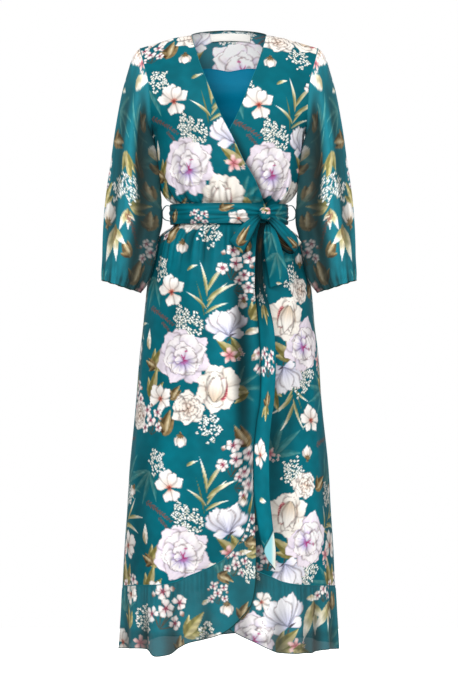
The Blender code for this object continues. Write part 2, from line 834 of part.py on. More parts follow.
def capped_object(name, rings, first_end, last_end, turned=False):
    """Rings of points joined into a tube and closed to a point at each end."""
    rows, columns = rings.shape[:2]
    index = np.arange(rows * columns).reshape(rows, columns)
    index = np.hstack([index, index[:, :1]])
    if turned:
        index = index[:, ::-1]
    here, beside = index[:-1, :-1], index[:-1, 1:]
    below, across = index[1:, :-1], index[1:, 1:]
    top = np.full(columns, rows * columns)
    faces = [
        np.stack([here, below, across], -1).reshape(-1, 3),
        np.stack([here, across, beside], -1).reshape(-1, 3),
        np.stack([top, index[0, :-1], index[0, 1:]], -1),
        np.stack([top + 1, index[-1, 1:], index[-1, :-1]], -1),
    ]
    points = np.concatenate([rings.reshape(-1, 3), [first_end], [last_end]])
    return mesh_object(name, points, np.concatenate(faces), TEAL, 0.55)


def bow_knot(rows, columns):
    """A drawn-up lump with shallow grooves across it."""
    turn, row = grid(rows, columns, closed=True)
    turn = 2 * np.pi * turn[1:-1]
    rise = np.pi * (0.5 - row[1:-1])
    half_x, half_y, half_z = KNOT["half"]
    groove = 1 - KNOT["groove_depth"] / half_y * np.cos(KNOT["grooves"] * 2 * turn) ** 2
    out = np.abs(np.cos(rise)) ** 0.7 * groove
    middle = np.array(KNOT["middle"])
    x = half_x * out * np.cos(turn)
    y = half_y * out * np.sin(turn)
    rings = middle + np.stack([x, y, half_z * np.sin(rise)], -1)
    end = np.array([0, 0, half_z])
    return capped_object("bow_knot", rings, middle + end, middle - end)


def thread_loop(name, mirrored, steps=10, sides=5):
    """A thin cord at the side seam, standing off the sash from above it to below it."""
    share = np.linspace(0, 1, steps + 1)
    places = {**THREAD_PATH, "share": np.linspace(0, 1, len(THREAD_PATH["out"]))}
    out = along(places, "share", "out", share)
    drop = along(places, "share", "drop", share)
    middle = np.stack([-out, 0 * out - 3, -drop - WAIST_DIP / 2], -1)
    course = np.gradient(middle, axis=0)
    course /= np.linalg.norm(course, axis=1, keepdims=True)
    side = np.array([0.0, 1.0, 0.0])
    other = np.cross(course, side)
    turn = -2 * np.pi * np.arange(sides) / sides
    ring = np.cos(turn)[None, :, None] * side + np.sin(turn)[None, :, None] * other[:, None, :]
    points = middle[:, None, :] + THREAD_RADIUS * ring
    if mirrored:
        points[..., 0] *= -1
    return capped_object(name, points, points[0].mean(axis=0), points[-1].mean(axis=0), mirrored)


def build():
    for thing in list(bpy.data.objects):
        bpy.data.objects.remove(thing)
    bodice_front("bodice_front_right", 22, False, over_lift)
    bodice_front("bodice_front_left", 20, True, under_lift)
    back_bodice(28)
    back_lining(16, 4)
    neck_label(8, 1)
    sleeve("sleeve_right", 48, 9, False)
    sleeve("sleeve_left", 48, 9, True)
    skirt_front("skirt_front_right", 34, 11, False, over_lift)
    skirt_front("skirt_front_left", 30, 11, True, under_lift)
    skirt_back(38, 10)
    ruffle_front("ruffle_front_right", 46, 3, False, over_lift, RIGHT_HEM)
    ruffle_front("ruffle_front_left", 42, 3, True, under_lift, LEFT_HEM)
    ruffle_back(60, 2)
    sash_ring(40, 2)
    bow_knot(8, 12)
    strip("bow_loop_right", LOOP_RIGHT, 4, 16)
    strip("bow_loop_left", LOOP_LEFT, 4, 16)
    strip("sash_tail_short", TAIL_SHORT, 4, 8)
    strip("sash_tail_long", TAIL_LONG, 3, 22)
    thread_loop("belt_loop_right", False)
    thread_loop("belt_loop_left", True)


build()
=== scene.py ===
import bpy
import numpy as np
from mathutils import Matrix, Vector


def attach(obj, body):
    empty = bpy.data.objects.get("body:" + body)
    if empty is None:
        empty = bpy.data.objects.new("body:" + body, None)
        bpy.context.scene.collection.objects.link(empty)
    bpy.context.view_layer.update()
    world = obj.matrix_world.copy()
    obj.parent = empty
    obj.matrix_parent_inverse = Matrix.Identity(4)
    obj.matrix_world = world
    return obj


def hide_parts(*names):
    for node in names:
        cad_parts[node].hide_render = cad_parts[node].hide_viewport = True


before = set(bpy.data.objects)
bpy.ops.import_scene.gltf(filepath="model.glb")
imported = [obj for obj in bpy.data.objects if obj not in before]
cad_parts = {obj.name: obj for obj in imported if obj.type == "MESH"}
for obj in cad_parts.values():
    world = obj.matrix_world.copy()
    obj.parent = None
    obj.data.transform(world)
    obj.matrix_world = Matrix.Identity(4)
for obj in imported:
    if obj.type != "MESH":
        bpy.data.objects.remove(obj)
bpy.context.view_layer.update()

# A wrap dress, worn and hollow. Tables are in millimetres and become metres in the meshes.
# Right and left are the wearer's: the front faces -Y and the wearer's left is +X.
mm = 0.001
coarser = 1.0
# drops below the shoulder ridge, widths from the middle, and the gaps that part the pieces
cut = {
    "underarm": 195.0, "yoke": 100.0, "waist": 352.0, "waistDip": 8.0, "shoulderHalf": 177.0,
    "neckHalf": 75.0, "neckBehind": 66.0, "neckRise": 20.0, "cornerReach": 0.2,
    "seamGap": 0.3, "ridgeGap": 0.55, "ruffleGap": 0.3, "steepGap": 2.4, "rowDrop": 160.0,
    "backSeamDrop": 1097.0, "backHemDrop": 1219.0, "sleeveOut": 0.5, "sleeveUp": 0.6,
}


# a dictionary of columns from a table written row by row
def table(names, rows):
    return dict(zip(names.split(), np.array(rows, float).T))


# the body form, by the drop below the shoulder ridge
bodyForm = table("drop side front back", [
    (0, 200, 0, 0), (3, 201, 13, 13), (10, 204, 25, 24), (30, 209, 48, 43), (60, 214, 66, 61),
    (100, 213, 82, 80), (150, 186, 98, 94), (176, 165, 105, 99), (195, 152, 110, 101),
    (228, 148.5, 117, 104), (260, 145.5, 116.5, 103), (288, 141.5, 112, 102), (303, 137, 108.5, 100),
    (316, 129, 104, 96), (324, 121.5, 98, 91), (329, 113.5, 92.5, 87), (334, 109.5, 90, 85.5),
    (352, 109, 90, 85), (366, 109, 90.5, 85.5), (374, 110.5, 92.5, 88), (380, 117.5, 97, 93),
    (387, 127, 101, 99), (398, 138.5, 105.5, 103.5), (418, 146.5, 110, 110), (455, 153.5, 114, 117),
    (489, 161.5, 118, 123), (530, 166.5, 120.5, 126), (573, 170.5, 122, 127), (630, 177.5, 124, 128),
    (700, 182.5, 126, 128), (784, 190.5, 130, 131), (872, 198.5, 135, 135), (983, 205.5, 142, 142),
    (1085, 211, 149, 150), (1152, 215, 154, 155), (1240, 217, 158, 160),
])
# the shoulder ridge seen from the front, and the armhole seams by the drop below it
shoulderRidge = table("out height", [
    (0, 4), (74, 3), (108, -2), (141, -12), (160, -17.5), (178, -23),
])
armholeSeam = table("drop front back", [
    (0, 177, 177), (49, 166, 168), (75, 160, 163), (105, 157, 160), (150, 155, 156), (176, 153.5, 154),
    (195, 152, 152),
])
# how far past the middle the crossing edges lie: of a bodice front, then of a skirt front
neckEdge = table("drop past", [
    (0, -74), (24, -69), (63, -58), (118, -36), (170, -15), (192, -4), (221, 11), (256, 28), (291, 50),
    (317, 62), (341, 73), (352, 78),
])
skirtEdge = table("drop past", [
    (352, 78), (370, 70), (390, 62), (413, 57), (470, 61), (529, 62), (722, 62), (800, 58), (896, 47.5),
    (1240, 47.5),
])
# the seam between skirt and ruffle by its angle, and the ruffle hems below each point of it
ruffleSeam = table("angle drop", [
    (-13.7, 895), (-12.2, 930), (-9, 968), (-5, 995), (0, 1018), (6, 1034), (13, 1047), (21, 1059),
    (30, 1073), (40, 1080), (50, 1083), (70, 1090), (90, 1097),
])
rightHem = table("seamAngle angle drop", [
    (-13.7, -14.3, 1023), (-12.2, -13.8, 1070), (-9, -11.5, 1113), (-5, -6.9, 1135), (0, -0.5, 1158),
    (6, 5.5, 1171), (13, 12, 1179), (21, 20, 1186), (27, 26.5, 1198), (33, 33, 1213), (39, 39.5, 1217),
    (45, 45.5, 1209), (53, 53, 1207), (70, 70, 1213), (90, 90, 1220),
])
leftHem = table("seamAngle angle drop", [
    (-13.7, -14.3, 1023), (-12.2, -13.8, 1070), (-9, -11.5, 1113), (-5, -6.9, 1135), (0, -0.5, 1158),
    (6, 5.5, 1172), (13, 13, 1185), (20, 20, 1198), (27, 27, 1208), (38, 38, 1211), (50, 50, 1214),
    (59, 59, 1211), (74, 74, 1216), (90, 90, 1221),
])
# soft folds: an angle from the middle front towards +X, a lean as it runs down, how far it
# stands out, and where it starts and ends
bodiceFolds = table("angle lean width height start end", [
    (-76, 6, 4.5, 2.6, 262, 352), (-64, 6, 4.5, -2.4, 272, 352), (-54, 8, 4.5, 2.8, 255, 352),
    (-43, 8, 4.5, -2.4, 276, 352), (-33, 9, 4.5, 2.2, 266, 352), (-22, 9, 4.5, -1.8, 285, 352),
    (25, 330, 4, -1.6, 296, 352), (46, -9, 4.5, -2.2, 280, 352), (56, -8, 4.5, 2.6, 258, 352),
    (66, -7, 4.5, -2.4, 275, 352), (77, -6, 4.5, 2.4, 262, 352), (106, 4, 6, 2.6, 268, 352),
    (119, 4, 6, -2.6, 255, 352), (133, 3, 6, 2.8, 262, 352), (148, 2, 6, -2.4, 272, 352),
    (163, 1, 6, 2.6, 258, 352), (180, 0, 6, -2.6, 266, 352), (197, -1, 6, 2.4, 255, 352),
    (212, -2, 6, -2.6, 270, 352), (227, -3, 6, 2.8, 260, 352), (241, -4, 6, -2.4, 266, 352),
    (254, -4, 6, 2.4, 270, 352),
])
skirtFolds = table("angle lean width height start end", [
    (6.5, 5, 5, -8, 372, 905), (-6, 3, 8, 3, 380, 960), (-17, -3, 4, -2.2, 372, 470),
    (-24, -4, 4, 2.2, 372, 500), (-32, -4, 4, -2.4, 372, 455), (-47, -6, 6, 2.5, 372, 560),
    (-66, -3, 6, -2.5, 372, 520), (22, 4, 5, 2.4, 372, 520), (31, 3, 4.5, -2.4, 372, 470),
    (28, 2, 7, -4, 640, 1010), (44, 3, 6, 2.6, 372, 540), (62, 3, 6, -2.6, 372, 500),
    (-38, 0, 11, 3.5, 700, 1090), (-62, 0, 10, -3, 800, 1090), (52, 0, 11, 3.5, 760, 1090),
    (74, 0, 9, -2.5, 800, 1090), (106, 0, 6, 3, 372, 560), (120, 0, 6, -3, 372, 480),
    (134, 0, 6, 3, 372, 620), (149, 0, 6, -3, 372, 500), (165, 0, 6, 3, 372, 560),
    (180, 0, 6, -3, 372, 640), (195, 0, 6, 3, 372, 560), (211, 0, 6, -3, 372, 500),
    (226, 0, 6, 3, 372, 620), (240, 0, 6, -3, 372, 480), (254, 0, 6, 3, 372, 560),
    (122, 4, 11, -6, 560, 1090), (146, 2, 11, 6, 640, 1090), (172, 0, 12, -7, 560, 1090),
    (199, -2, 11, 6, 620, 1090), (222, -3, 11, -6, 580, 1090), (244, -4, 10, 4, 680, 1090),
])
ruffleWaves = table("angle width height", [
    (-81, 4.5, 5), (-70, 4.5, -5), (-60, 4, 6), (-50, 3.5, -7), (-41, 4, 9), (-31, 4, -6), (-21, 4, 6),
    (-12, 3, -8), (-3, 4, 5), (7, 4, -5), (17, 4, 5), (27, 4, -5), (36, 4, 7), (44, 3.5, -5), (53, 3.5, -8),
    (61, 4, 7), (71, 4.5, -5), (81, 4.5, 5), (97, 4.5, -5), (108, 4.5, 8), (120, 4.5, -8), (131, 4.5, 9),
    (142, 4.5, -7), (152, 4.5, 8), (164, 5, -9), (176, 5, 8), (187, 4.5, -7), (198, 4.5, 9), (209, 4.5, -8),
    (219, 4.5, 7), (230, 4.5, -9), (241, 4.5, 8), (252, 4.5, -7), (263, 4.5, 5),
])
# finer creases of the same kind: pulls from the bust to the waist, drapes of
# the hip, and the slack of the skirt
bodiceCreases = table("angle lean width height start end", [
    (-84, 20, 2.2, 1.2, 180, 300), (-70, -60, 2.0, -0.9, 150, 260), (-58, 420, 2.6, 1.1, 205, 330),
    (-46, 380, 2.2, -1.0, 235, 340), (-30, 300, 2.4, 1.0, 225, 338), (-20, 260, 1.9, -0.8, 258, 345),
    (-38, -40, 2.6, -1.1, 95, 190), (-26, 30, 3.0, 0.9, 40, 150), (8, 250, 2.0, 0.9, 262, 345),
    (38, -280, 2.2, -1.0, 240, 335), (52, -330, 2.4, 1.1, 215, 325), (64, -360, 2.1, -0.9, 205, 300),
    (30, 20, 3.0, 0.9, 60, 170), (42, 40, 2.4, -1.0, 100, 190), (70, 60, 2.0, 0.9, 150, 260),
    (84, -20, 2.2, 1.2, 185, 300), (128, 4, 2.6, 0.9, 160, 270), (150, 0, 3.0, 1.0, 110, 250),
    (172, 5, 3.5, -0.9, 130, 260), (200, -4, 3.0, 1.1, 120, 250), (222, 0, 2.6, -0.9, 150, 270),
])
skirtCreases = table("angle lean width height start end", [
    (14, 8, 2.2, 1.4, 392, 640), (-1, 4, 2.4, -1.3, 400, 700), (-12, 2, 2.0, 1.2, 385, 520),
    (-21, -5, 1.8, -1.1, 380, 470), (-28, 6, 2.0, 1.0, 384, 560), (-37, -8, 2.2, -1.2, 380, 450),
    (-42, 2, 2.0, 1.2, 390, 500), (-54, 3, 2.4, -1.2, 378, 540), (-60, 0, 2.2, 1.0, 382, 470),
    (-74, -4, 2.6, 1.3, 380, 560), (-84, 2, 2.4, -1.2, 390, 620), (18, -6, 1.8, -1.0, 384, 480),
    (27, 3, 2.0, 1.1, 380, 520), (37, -4, 2.0, -1.1, 385, 500), (50, 5, 2.2, 1.2, 384, 460),
    (57, -3, 2.0, -1.1, 390, 580), (69, 4, 2.4, 1.2, 380, 470), (81, 0, 2.4, -1.2, 395, 560),
    (-20, 5, 3.4, 1.4, 620, 900), (-48, -5, 3.0, -1.3, 600, 860), (-72, 4, 3.6, 1.4, 560, 900),
    (14, -4, 3.2, 1.2, 700, 960), (38, 6, 3.4, -1.3, 640, 940), (64, -3, 3.6, 1.4, 600, 900),
    (84, 2, 3.4, -1.3, 700, 1040), (100, 2, 2.6, 1.2, 384, 520), (113, -3, 2.4, -1.1, 380, 600),
    (127, 2, 2.6, 1.2, 390, 540), (141, -2, 2.4, -1.2, 382, 500), (157, 3, 2.6, 1.1, 380, 640),
    (173, -2, 2.4, -1.2, 386, 520), (187, 2, 2.6, 1.2, 380, 560), (204, -2, 2.4, -1.2, 390, 640),
    (218, 3, 2.6, 1.1, 384, 500), (233, -2, 2.4, 1.2, 380, 560), (248, 2, 2.6, -1.2, 386, 600),
    (108, 2, 4.0, 1.4, 640, 1000), (134, -2, 4.0, -1.4, 600, 980), (160, 2, 4.0, 1.4, 700, 1040),
    (186, -2, 4.0, -1.3, 620, 1000), (210, 2, 4.0, 1.4, 660, 1020), (236, -2, 4.0, -1.4, 600, 960),
    (258, 2, 4.0, 1.2, 640, 1000),
])


# 0 before the start, 1 past the end, and 3 t^2 - 2 t^3 between
def ease(value, start, end):
    t = np.clip((value - start) / (end - start), 0, 1)
    return t * t * (3 - 2 * t)


# from a to b by a share: a + (b - a) share
def mix(a, b, share):
    return a + (b - a) * share


# an angle difference brought between -180 and 180 degrees
def wrapped(difference):
    return (difference + 180) % 360 - 180


# a column at any place: a cubic through the rows whose slope at a row is the harmonic mean of
# the slopes beside it, so that it never overshoots them
def along(columns, key, name, where):
    x, y = columns[key], columns[name]
    steps = np.diff(x)
    slopes = np.diff(y) / steps
    sameWay = slopes[:-1] * slopes[1:] > 0
    first, second = 2 * steps[1:] + steps[:-1], steps[1:] + 2 * steps[:-1]
    blended = (first + second) / (
        first / np.where(sameWay, slopes[:-1], 1.0) + second / np.where(sameWay, slopes[1:], 1.0)
    )
    tangents = np.concatenate([slopes[:1], np.where(sameWay, blended, 0.0), slopes[-1:]])
    place = np.clip(where, x[0], x[-1])
    i = np.clip(np.searchsorted(x, place, side="right") - 1, 0, len(steps) - 1)
    t = (place - x[i]) / steps[i]
    rise = y[i] * (2 * t**3 - 3 * t**2 + 1) + y[i + 1] * (3 * t**2 - 2 * t**3)
    return rise + steps[i] * (tangents[i] * (t**3 - 2 * t**2 + t) + tangents[i + 1] * (t**3 - t**2))


# unit normals of a surface S(u, v): the cross product of its slopes down v and across u
def normals(surface, u, v):
    step = 1e-3
    across = surface(u + step, v) - surface(u - step, v)
    down = surface(u, v + step) - surface(u, np.maximum(v - step, 0))
    normal = np.cross(down, across)
    return normal / np.linalg.norm(normal, axis=-1, keepdims=True)


# S + n d: points of a surface moved a distance along its normals
def movedOut(surface, u, v, distance):
    return surface(u, v) + normals(surface, u, v) * np.asarray(distance)[..., None]


# the form: x = side sin a, y = -depth cos a, z = the ridge faded out by the underarm - drop -
# the dip of the waist at the front
def body(angle, drop):
    turn = np.radians(angle)
    side = along(bodyForm, "drop", "side", drop)
    depth = np.where(
        np.cos(turn) > 0, along(bodyForm, "drop", "front", drop), along(bodyForm, "drop", "back", drop)
    )
    x = side * np.sin(turn)
    ridge = along(shoulderRidge, "out", "height", np.abs(x)) * (1 - ease(drop, 0, cut["underarm"]))
    dip = cut["waistDip"] * (1 + np.cos(turn)) / 2 * np.exp(-(((drop - cut["waist"]) / 80) ** 2))
    return np.stack([x, -depth * np.cos(turn), ridge - drop - dip], -1)


# the angle at which the form is that far out to the side: asin(out / side)
def angleAt(out, drop):
    return np.degrees(np.arcsin(np.clip(out / along(bodyForm, "drop", "side", drop), -1, 1)))


# the angle across a right bodice front, from its armhole or side seam to its edge
def bodiceAngle(share, drop):
    seam = angleAt(along(armholeSeam, "drop", "front", drop), drop)
    seam = np.where(drop < cut["underarm"], seam, 90.0)
    return mix(-seam, angleAt(along(neckEdge, "drop", "past", drop), drop), share)


# how far past the middle the fronts' edges lie, as an angle
def crossing(drop):
    bodice = angleAt(along(neckEdge, "drop", "past", drop), drop)
    skirt = angleAt(along(skirtEdge, "drop", "past", drop), drop)
    return np.where(drop < cut["waist"], bodice, skirt)


# how far the right fronts stand out and the left ones sink, between which drops each begins and
# is full, and between which angles beside the covering edge
wrapOver = {
    "lift": 3.0, "liftFrom": 110, "liftFull": 180, "liftStart": -24, "liftEnd": -4,
    "sink": 2.5, "sinkFrom": 150, "sinkFull": 215, "sinkStart": -6, "sinkEnd": 3,
}


# the right fronts lie on the left ones wherever the two can meet: lift, eased in down the dress
# and towards the left front's edge
def overLift(angle, drop):
    w = wrapOver
    covering = ease(angle + crossing(drop), w["liftStart"], w["liftEnd"])
    return w["lift"] * ease(drop, w["liftFrom"], w["liftFull"]) * covering


# the left fronts sink a little where they are covered: -sink, eased out at the right front's edge
def underLift(angle, drop):
    w = wrapOver
    covered = 1 - ease(angle - crossing(drop), w["sinkStart"], w["sinkEnd"])
    return -w["sink"] * ease(drop, w["sinkFrom"], w["sinkFull"]) * covered


# the sum over a table's folds of height * exp(-(apart / width)^2) * sin(pi t)^0.8, t down it
def folds(columns, angle, drop):
    height = np.zeros(np.broadcast(angle, drop).shape)
    for number, (middle, start) in enumerate(zip(columns["angle"], columns["start"])):
        lean = columns["lean"][number] if "lean" in columns else 0.0
        apart = wrapped(angle - middle - lean * (drop - start) / 1000) / columns["width"][number]
        down = np.clip((drop - start) / (columns["end"][number] - start), 0, 1)
        height += columns["height"][number] * np.exp(-apart**2) * np.sin(np.pi * down) ** 0.8
    return height


waveParts = table("share start end", [(0.12, 960, 1090), (0.88, 1070, 1235)])


# the ruffle's waves, from nothing above its seam to full at the hem, a small share of them first
def waves(angle, drop):
    height = np.zeros(np.broadcast(angle, drop).shape)
    for middle, width, tall in zip(*ruffleWaves.values()):
        height += tall * np.exp(-((wrapped(angle - middle) / width) ** 2))
    return height * sum(part * ease(drop, start, end) for part, start, end in zip(*waveParts.values()))


# uneven gathers: sin(n a + bends) sharpened a little, whose height itself rises and falls
def gathers(angle, count, seed):
    turn = np.radians(angle)
    wound = count * turn
    bent = wound + 1.3 * np.sin(0.31 * wound + seed) + 0.8 * np.sin(0.17 * wound + 2 * seed)
    uneven = 0.62 + 0.38 * np.sin(0.23 * wound + 3 * seed) * np.sin(0.41 * wound + seed)
    return (np.sin(bent) + 0.22 * np.sin(2 * bent + seed)) * uneven


# the crepe's own unevenness: crossed slow sines, about 1 at most
def slack(a, b, seed):
    first = np.sin(a + 1.1 * np.sin(0.7 * b + seed)) * np.sin(0.9 * b + 0.8 * np.sin(0.6 * a + 2 * seed))
    return first + 0.45 * np.sin(2.1 * a + seed) * np.sin(1.7 * b + 3 * seed)


# where gathers start, stand fullest and end by their drop, then how many go round and how high;
# the slack fades in and out by its own drops, and its waves are so many degrees and mm wide
skirtGathers = {"start": 371, "full": 392, "end": 520, "count": 62, "height": 2.3}
bodiceGathers = {"start": 275, "full": 322, "end": 334, "count": 54, "height": 1.7}
seamGathers = {"start": 0.5, "full": 8, "end": 70, "count": 88, "height": 1.5, "wide": 2.45}
clothSlack = {"height": 0.7, "bodice": (20, 120), "waist": (300, 330), "skirt": (400, 470), "wide": (9, 46)}


# all that lifts the cloth of bodice, skirt and ruffle: folds, creases, gathers and slack
def relief(angle, drop):
    height = waves(angle, drop)
    for columns in (bodiceFolds, skirtFolds, bodiceCreases, skirtCreases):
        height += folds(columns, angle, drop)
    g = skirtGathers
    below = ease(drop, g["start"], g["full"]) * (1 - ease(drop, g["full"], g["end"])) ** 1.6
    height += g["height"] * below * gathers(angle, g["count"], 1.0)
    g = bodiceGathers
    above = ease(drop, g["start"], g["full"]) * (1 - ease(drop, g["full"], g["end"]))
    height += g["height"] * above * gathers(angle, g["count"], 2.0)
    s = clothSlack
    calm = ease(drop, *s["bodice"]) * (1 - ease(drop, *s["waist"])) + ease(drop, *s["skirt"])
    height += s["height"] * calm * slack(angle / s["wide"][0], drop / s["wide"][1], 1.7)
    return height


# a front: the form moved out by its relief and its place in the wrap, parted from the back
def frontCloth(angle, drop, lift, gathered=0.0):
    points = movedOut(body, angle, drop, relief(angle, drop) + lift(angle, drop) + gathered)
    points[..., 1] -= mix(cut["ridgeGap"], cut["seamGap"] / 2, ease(drop, 0, 30))
    return points


# neckline and shoulder seams of the back: x = neck sin, y = behind cos, then straight out
def topLine(side):
    share = np.abs(side)
    inNeck = np.pi * np.clip(share, 0, 0.5)
    shoulder = mix(cut["neckHalf"], cut["shoulderHalf"], 2 * share - 1)
    out = np.where(share < 0.5, cut["neckHalf"] * np.sin(inNeck), shoulder)
    behind = np.where(share < 0.5, cut["neckBehind"] * np.cos(inNeck), 0.0)
    height = along(shoulderRidge, "out", "height", out) + cut["neckRise"] * behind / cut["neckBehind"]
    return np.stack([np.sign(side) * out, behind, height], -1)


# the mean of five points of the top line, further apart down the back: its corners grow round
def softTopLine(side, row):
    reach = cut["cornerReach"] * ease(row, 0, 0.45) * (1 - ease(np.abs(side), 0.7, 1))
    return sum(topLine(side + reach * step) for step in (-1, -0.5, 0, 0.5, 1)) / 5


# the angle of a column of the back, evenly spaced below the armholes
def backAngle(side, drop):
    level = np.minimum(drop, cut["underarm"])
    top = topLine(side)[..., 0] / cut["shoulderHalf"]
    ratio = mix(top, np.sin(np.pi / 2 * side), ease(drop, 0, cut["underarm"]))
    upper = angleAt(ratio * along(armholeSeam, "drop", "back", level), level)
    return 180 - np.where(drop < cut["underarm"], upper, 90 * side)


# row 0 is the top line, row 1 the yoke level, and 160 mm a row below it
def dropOfRow(row):
    return np.where(row < 1, cut["yoke"], cut["yoke"] + (row - 1) * cut["rowDrop"])


# the back: a quarter oval from the top line to the yoke level, then the form
def backForm(side, row):
    drop = dropOfRow(row)
    lower = body(backAngle(side, drop), drop)
    turn = np.radians(90 * np.clip(row, 0, 1))
    top = softTopLine(side, row)
    x = mix(top[..., 0], lower[..., 0], 1 - np.cos(turn))
    y = mix(top[..., 1], lower[..., 1], np.sin(turn))
    z = mix(lower[..., 2], top[..., 2], np.cos(turn))
    return np.where((row < 1)[..., None], np.stack([x, y, z], -1), lower)


# the back of the bodice with its relief, or a smooth layer inside it
def backCloth(side, row, inside=0.0, crease=0.0):
    drop = dropOfRow(row)
    lift = crease - inside if inside else relief(backAngle(side, drop), drop) * ease(row, 0.9, 1.1)
    points = movedOut(backForm, side, row, -lift + 0 * row)
    points[..., 1] += mix(cut["ridgeGap"], cut["seamGap"] / 2, ease(row, 0, 0.6))
    return points


# a colour from its six-figure name, 0 to 1; one that is mixed already stays as it is
def shade(word):
    return np.array([int(word[i:i + 2], 16) / 255 for i in (0, 2, 4)]) if isinstance(word, str) else word


# repeatable scatter between 0 and 1: the fraction of |sin(12.99 n + 78.23 seed)| 43758.5
def hashed(seed, count):
    return np.modf(np.abs(np.sin(np.arange(1, count + 1) * 12.9898 + seed * 78.233)) * 43758.5453)[0]


# places turned about the middle, so that the y axis points at an angle from up towards right
def turnedPlace(place, degrees):
    c, s = np.cos(np.radians(degrees)), np.sin(np.radians(degrees))
    return np.stack([place[:, 0] * c + place[:, 1] * s, place[:, 1] * c - place[:, 0] * s], -1)


# soft patches: the mean of two sines bent by each other, -1 to 1
def mottle(place, seed):
    a, b, c, d = 6.28 * hashed(seed, 4)
    x, y = place[:, 0], place[:, 1]
    first = np.sin(1.7 * x + a + 1.3 * np.sin(1.1 * y + b))
    return (first + np.sin(2.3 * y + c + 1.1 * np.sin(1.9 * x + d))) / 2


# a tone laid over what is there, where the cover is 1
def lay(picture, tone, cover):
    picture["tone"] = mix(picture["tone"], shade(tone), cover[:, None])
    picture["cover"] = np.maximum(picture["cover"], cover)


# a petal from its root: half width = width sin(pi t^blunt)^0.75, t from root to tip, both frayed
# by two waves, with fanned veins, a fine dark rim and a soft shadow under it
def layPetal(picture, root, angle, reach, width, blunt, tones, seed, shadow=0.2, veins=0.05):
    size = picture["size"]
    q = turnedPlace(picture["place"] - np.array(root), angle)
    wave = hashed(seed, 4) * 6.28
    sideways = q[:, 0] / width
    fray = 0.06 * np.cos(4.3 * sideways + wave[0]) + 0.022 * np.cos(12 * sideways + wave[1])
    t = q[:, 1] / (reach * (1 + fray))
    inside = np.clip(t, 0, 1)
    half = width * np.sin(np.pi * inside**blunt) ** 0.75 * (1 + 0.06 * np.sin(11 * inside + wave[2]))
    edge = np.where((t > 0) & (t < 1), (half - np.abs(q[:, 0])) * size, -9)
    edge = np.minimum(edge, (1 - t) * reach * size * 1.6)
    cover = ease(edge, -0.6, 0.7)
    dark = ease(edge, -4, 0) * shadow * picture["cover"] * (t > -0.1) * (t < 1.2)
    picture["tone"] = picture["tone"] * (1 - dark[:, None])
    across = q[:, 0] / (half + 1e-3)
    tone = mix(shade(tones[0]), shade(tones[1]), ease(inside, 0.0, 0.8)[:, None])
    lines = (np.sin(across * 9 + wave[3]) * np.sin(across * 4.3 + wave[1]) + 0.4) * (1 - inside) ** 0.7
    tone = tone * (1 - veins * lines[:, None] - 0.06 * ease(across, 0.2, 1)[:, None])
    rim = np.exp(-(((edge - 0.7) / 0.75) ** 2)) * ease(inside, 0.2, 0.7)
    tone = tone * (1 - rim[:, None] * (shadow * np.array([0.9, 1.15, 1.15])))
    lay(picture, np.clip(tone, 0, 1), cover)


# a ring of petals round a spot, each a little off its turn, length and width
def layRing(picture, spot, count, start, reach, width, blunt, tones, seed, shadow=0.2, veins=0.05):
    wander = hashed(seed + 0.7, 3 * count) - 0.5
    for petal in range(count):
        number = (petal * 2) % count if count % 2 else petal
        turn = start + 360 / count * (number + 0.7 * wander[petal])
        far, wide = 1 + 0.24 * wander[count + petal], 1 + 0.4 * wander[2 * count + petal]
        layPetal(picture, spot, turn, reach * far, width * wide, blunt, tones, seed + petal, shadow, veins)


# a leaf: its middle line bends sideways as bend t^2, half width = width sin(pi t^0.75), one half
# lighter than the other, with ribs and a pale middle vein, and its own tone at the tip
def layLeaf(picture, root, angle, reach, width, bend, tones, seed, strength=1.0, veined=0.12):
    size = picture["size"]
    q = turnedPlace(picture["place"] - np.array(root), angle)
    t = np.clip(q[:, 1] / reach, 0, 1)
    x = q[:, 0] - bend * t**2
    half = width * np.sin(np.pi * t**0.75)
    edge = np.where((q[:, 1] > 0) & (q[:, 1] < reach), (half - np.abs(x)) * size, -9)
    tone = mix(shade(tones[0]), shade(tones[1]), ease(x / (half + 1e-3), -0.4, 0.4)[:, None])
    tone = mix(tone, shade(tones[-1]), ease(t, 0.3, 0.85)[:, None] * (len(tones) > 2))
    ribs = np.sin(q[:, 1] / reach * 24 - np.abs(x) / width * 5)
    vein = np.exp(-((x * size / 0.8) ** 2))
    tone = tone * (1 + (veined * (0.5 * ribs + 1.3 * vein))[:, None])
    tone = tone * (0.84 + 0.2 * t[:, None] + 0.09 * mottle(q * 6, seed)[:, None])
    lay(picture, np.clip(tone, 0, 1), ease(edge, -0.5, 0.6) * strength)


# a line of one tone from a root, tapering to both ends
def layStroke(picture, root, angle, reach, width, bend, tone, strength=0.8):
    layLeaf(picture, root, angle, reach, width, bend, (tone, tone), 1.0, strength, 0.0)


# a tone faded out round a spot: 1 inside the reach, 0 at twice it
def layGlow(picture, spot, reach, tone, strength):
    out = np.hypot(*((picture["place"] - spot) / reach).T)
    glow = (1 - ease(out, 0.3, 1.6)) * strength * picture["cover"]
    picture["tone"] = mix(picture["tone"], shade(tone), glow[:, None])


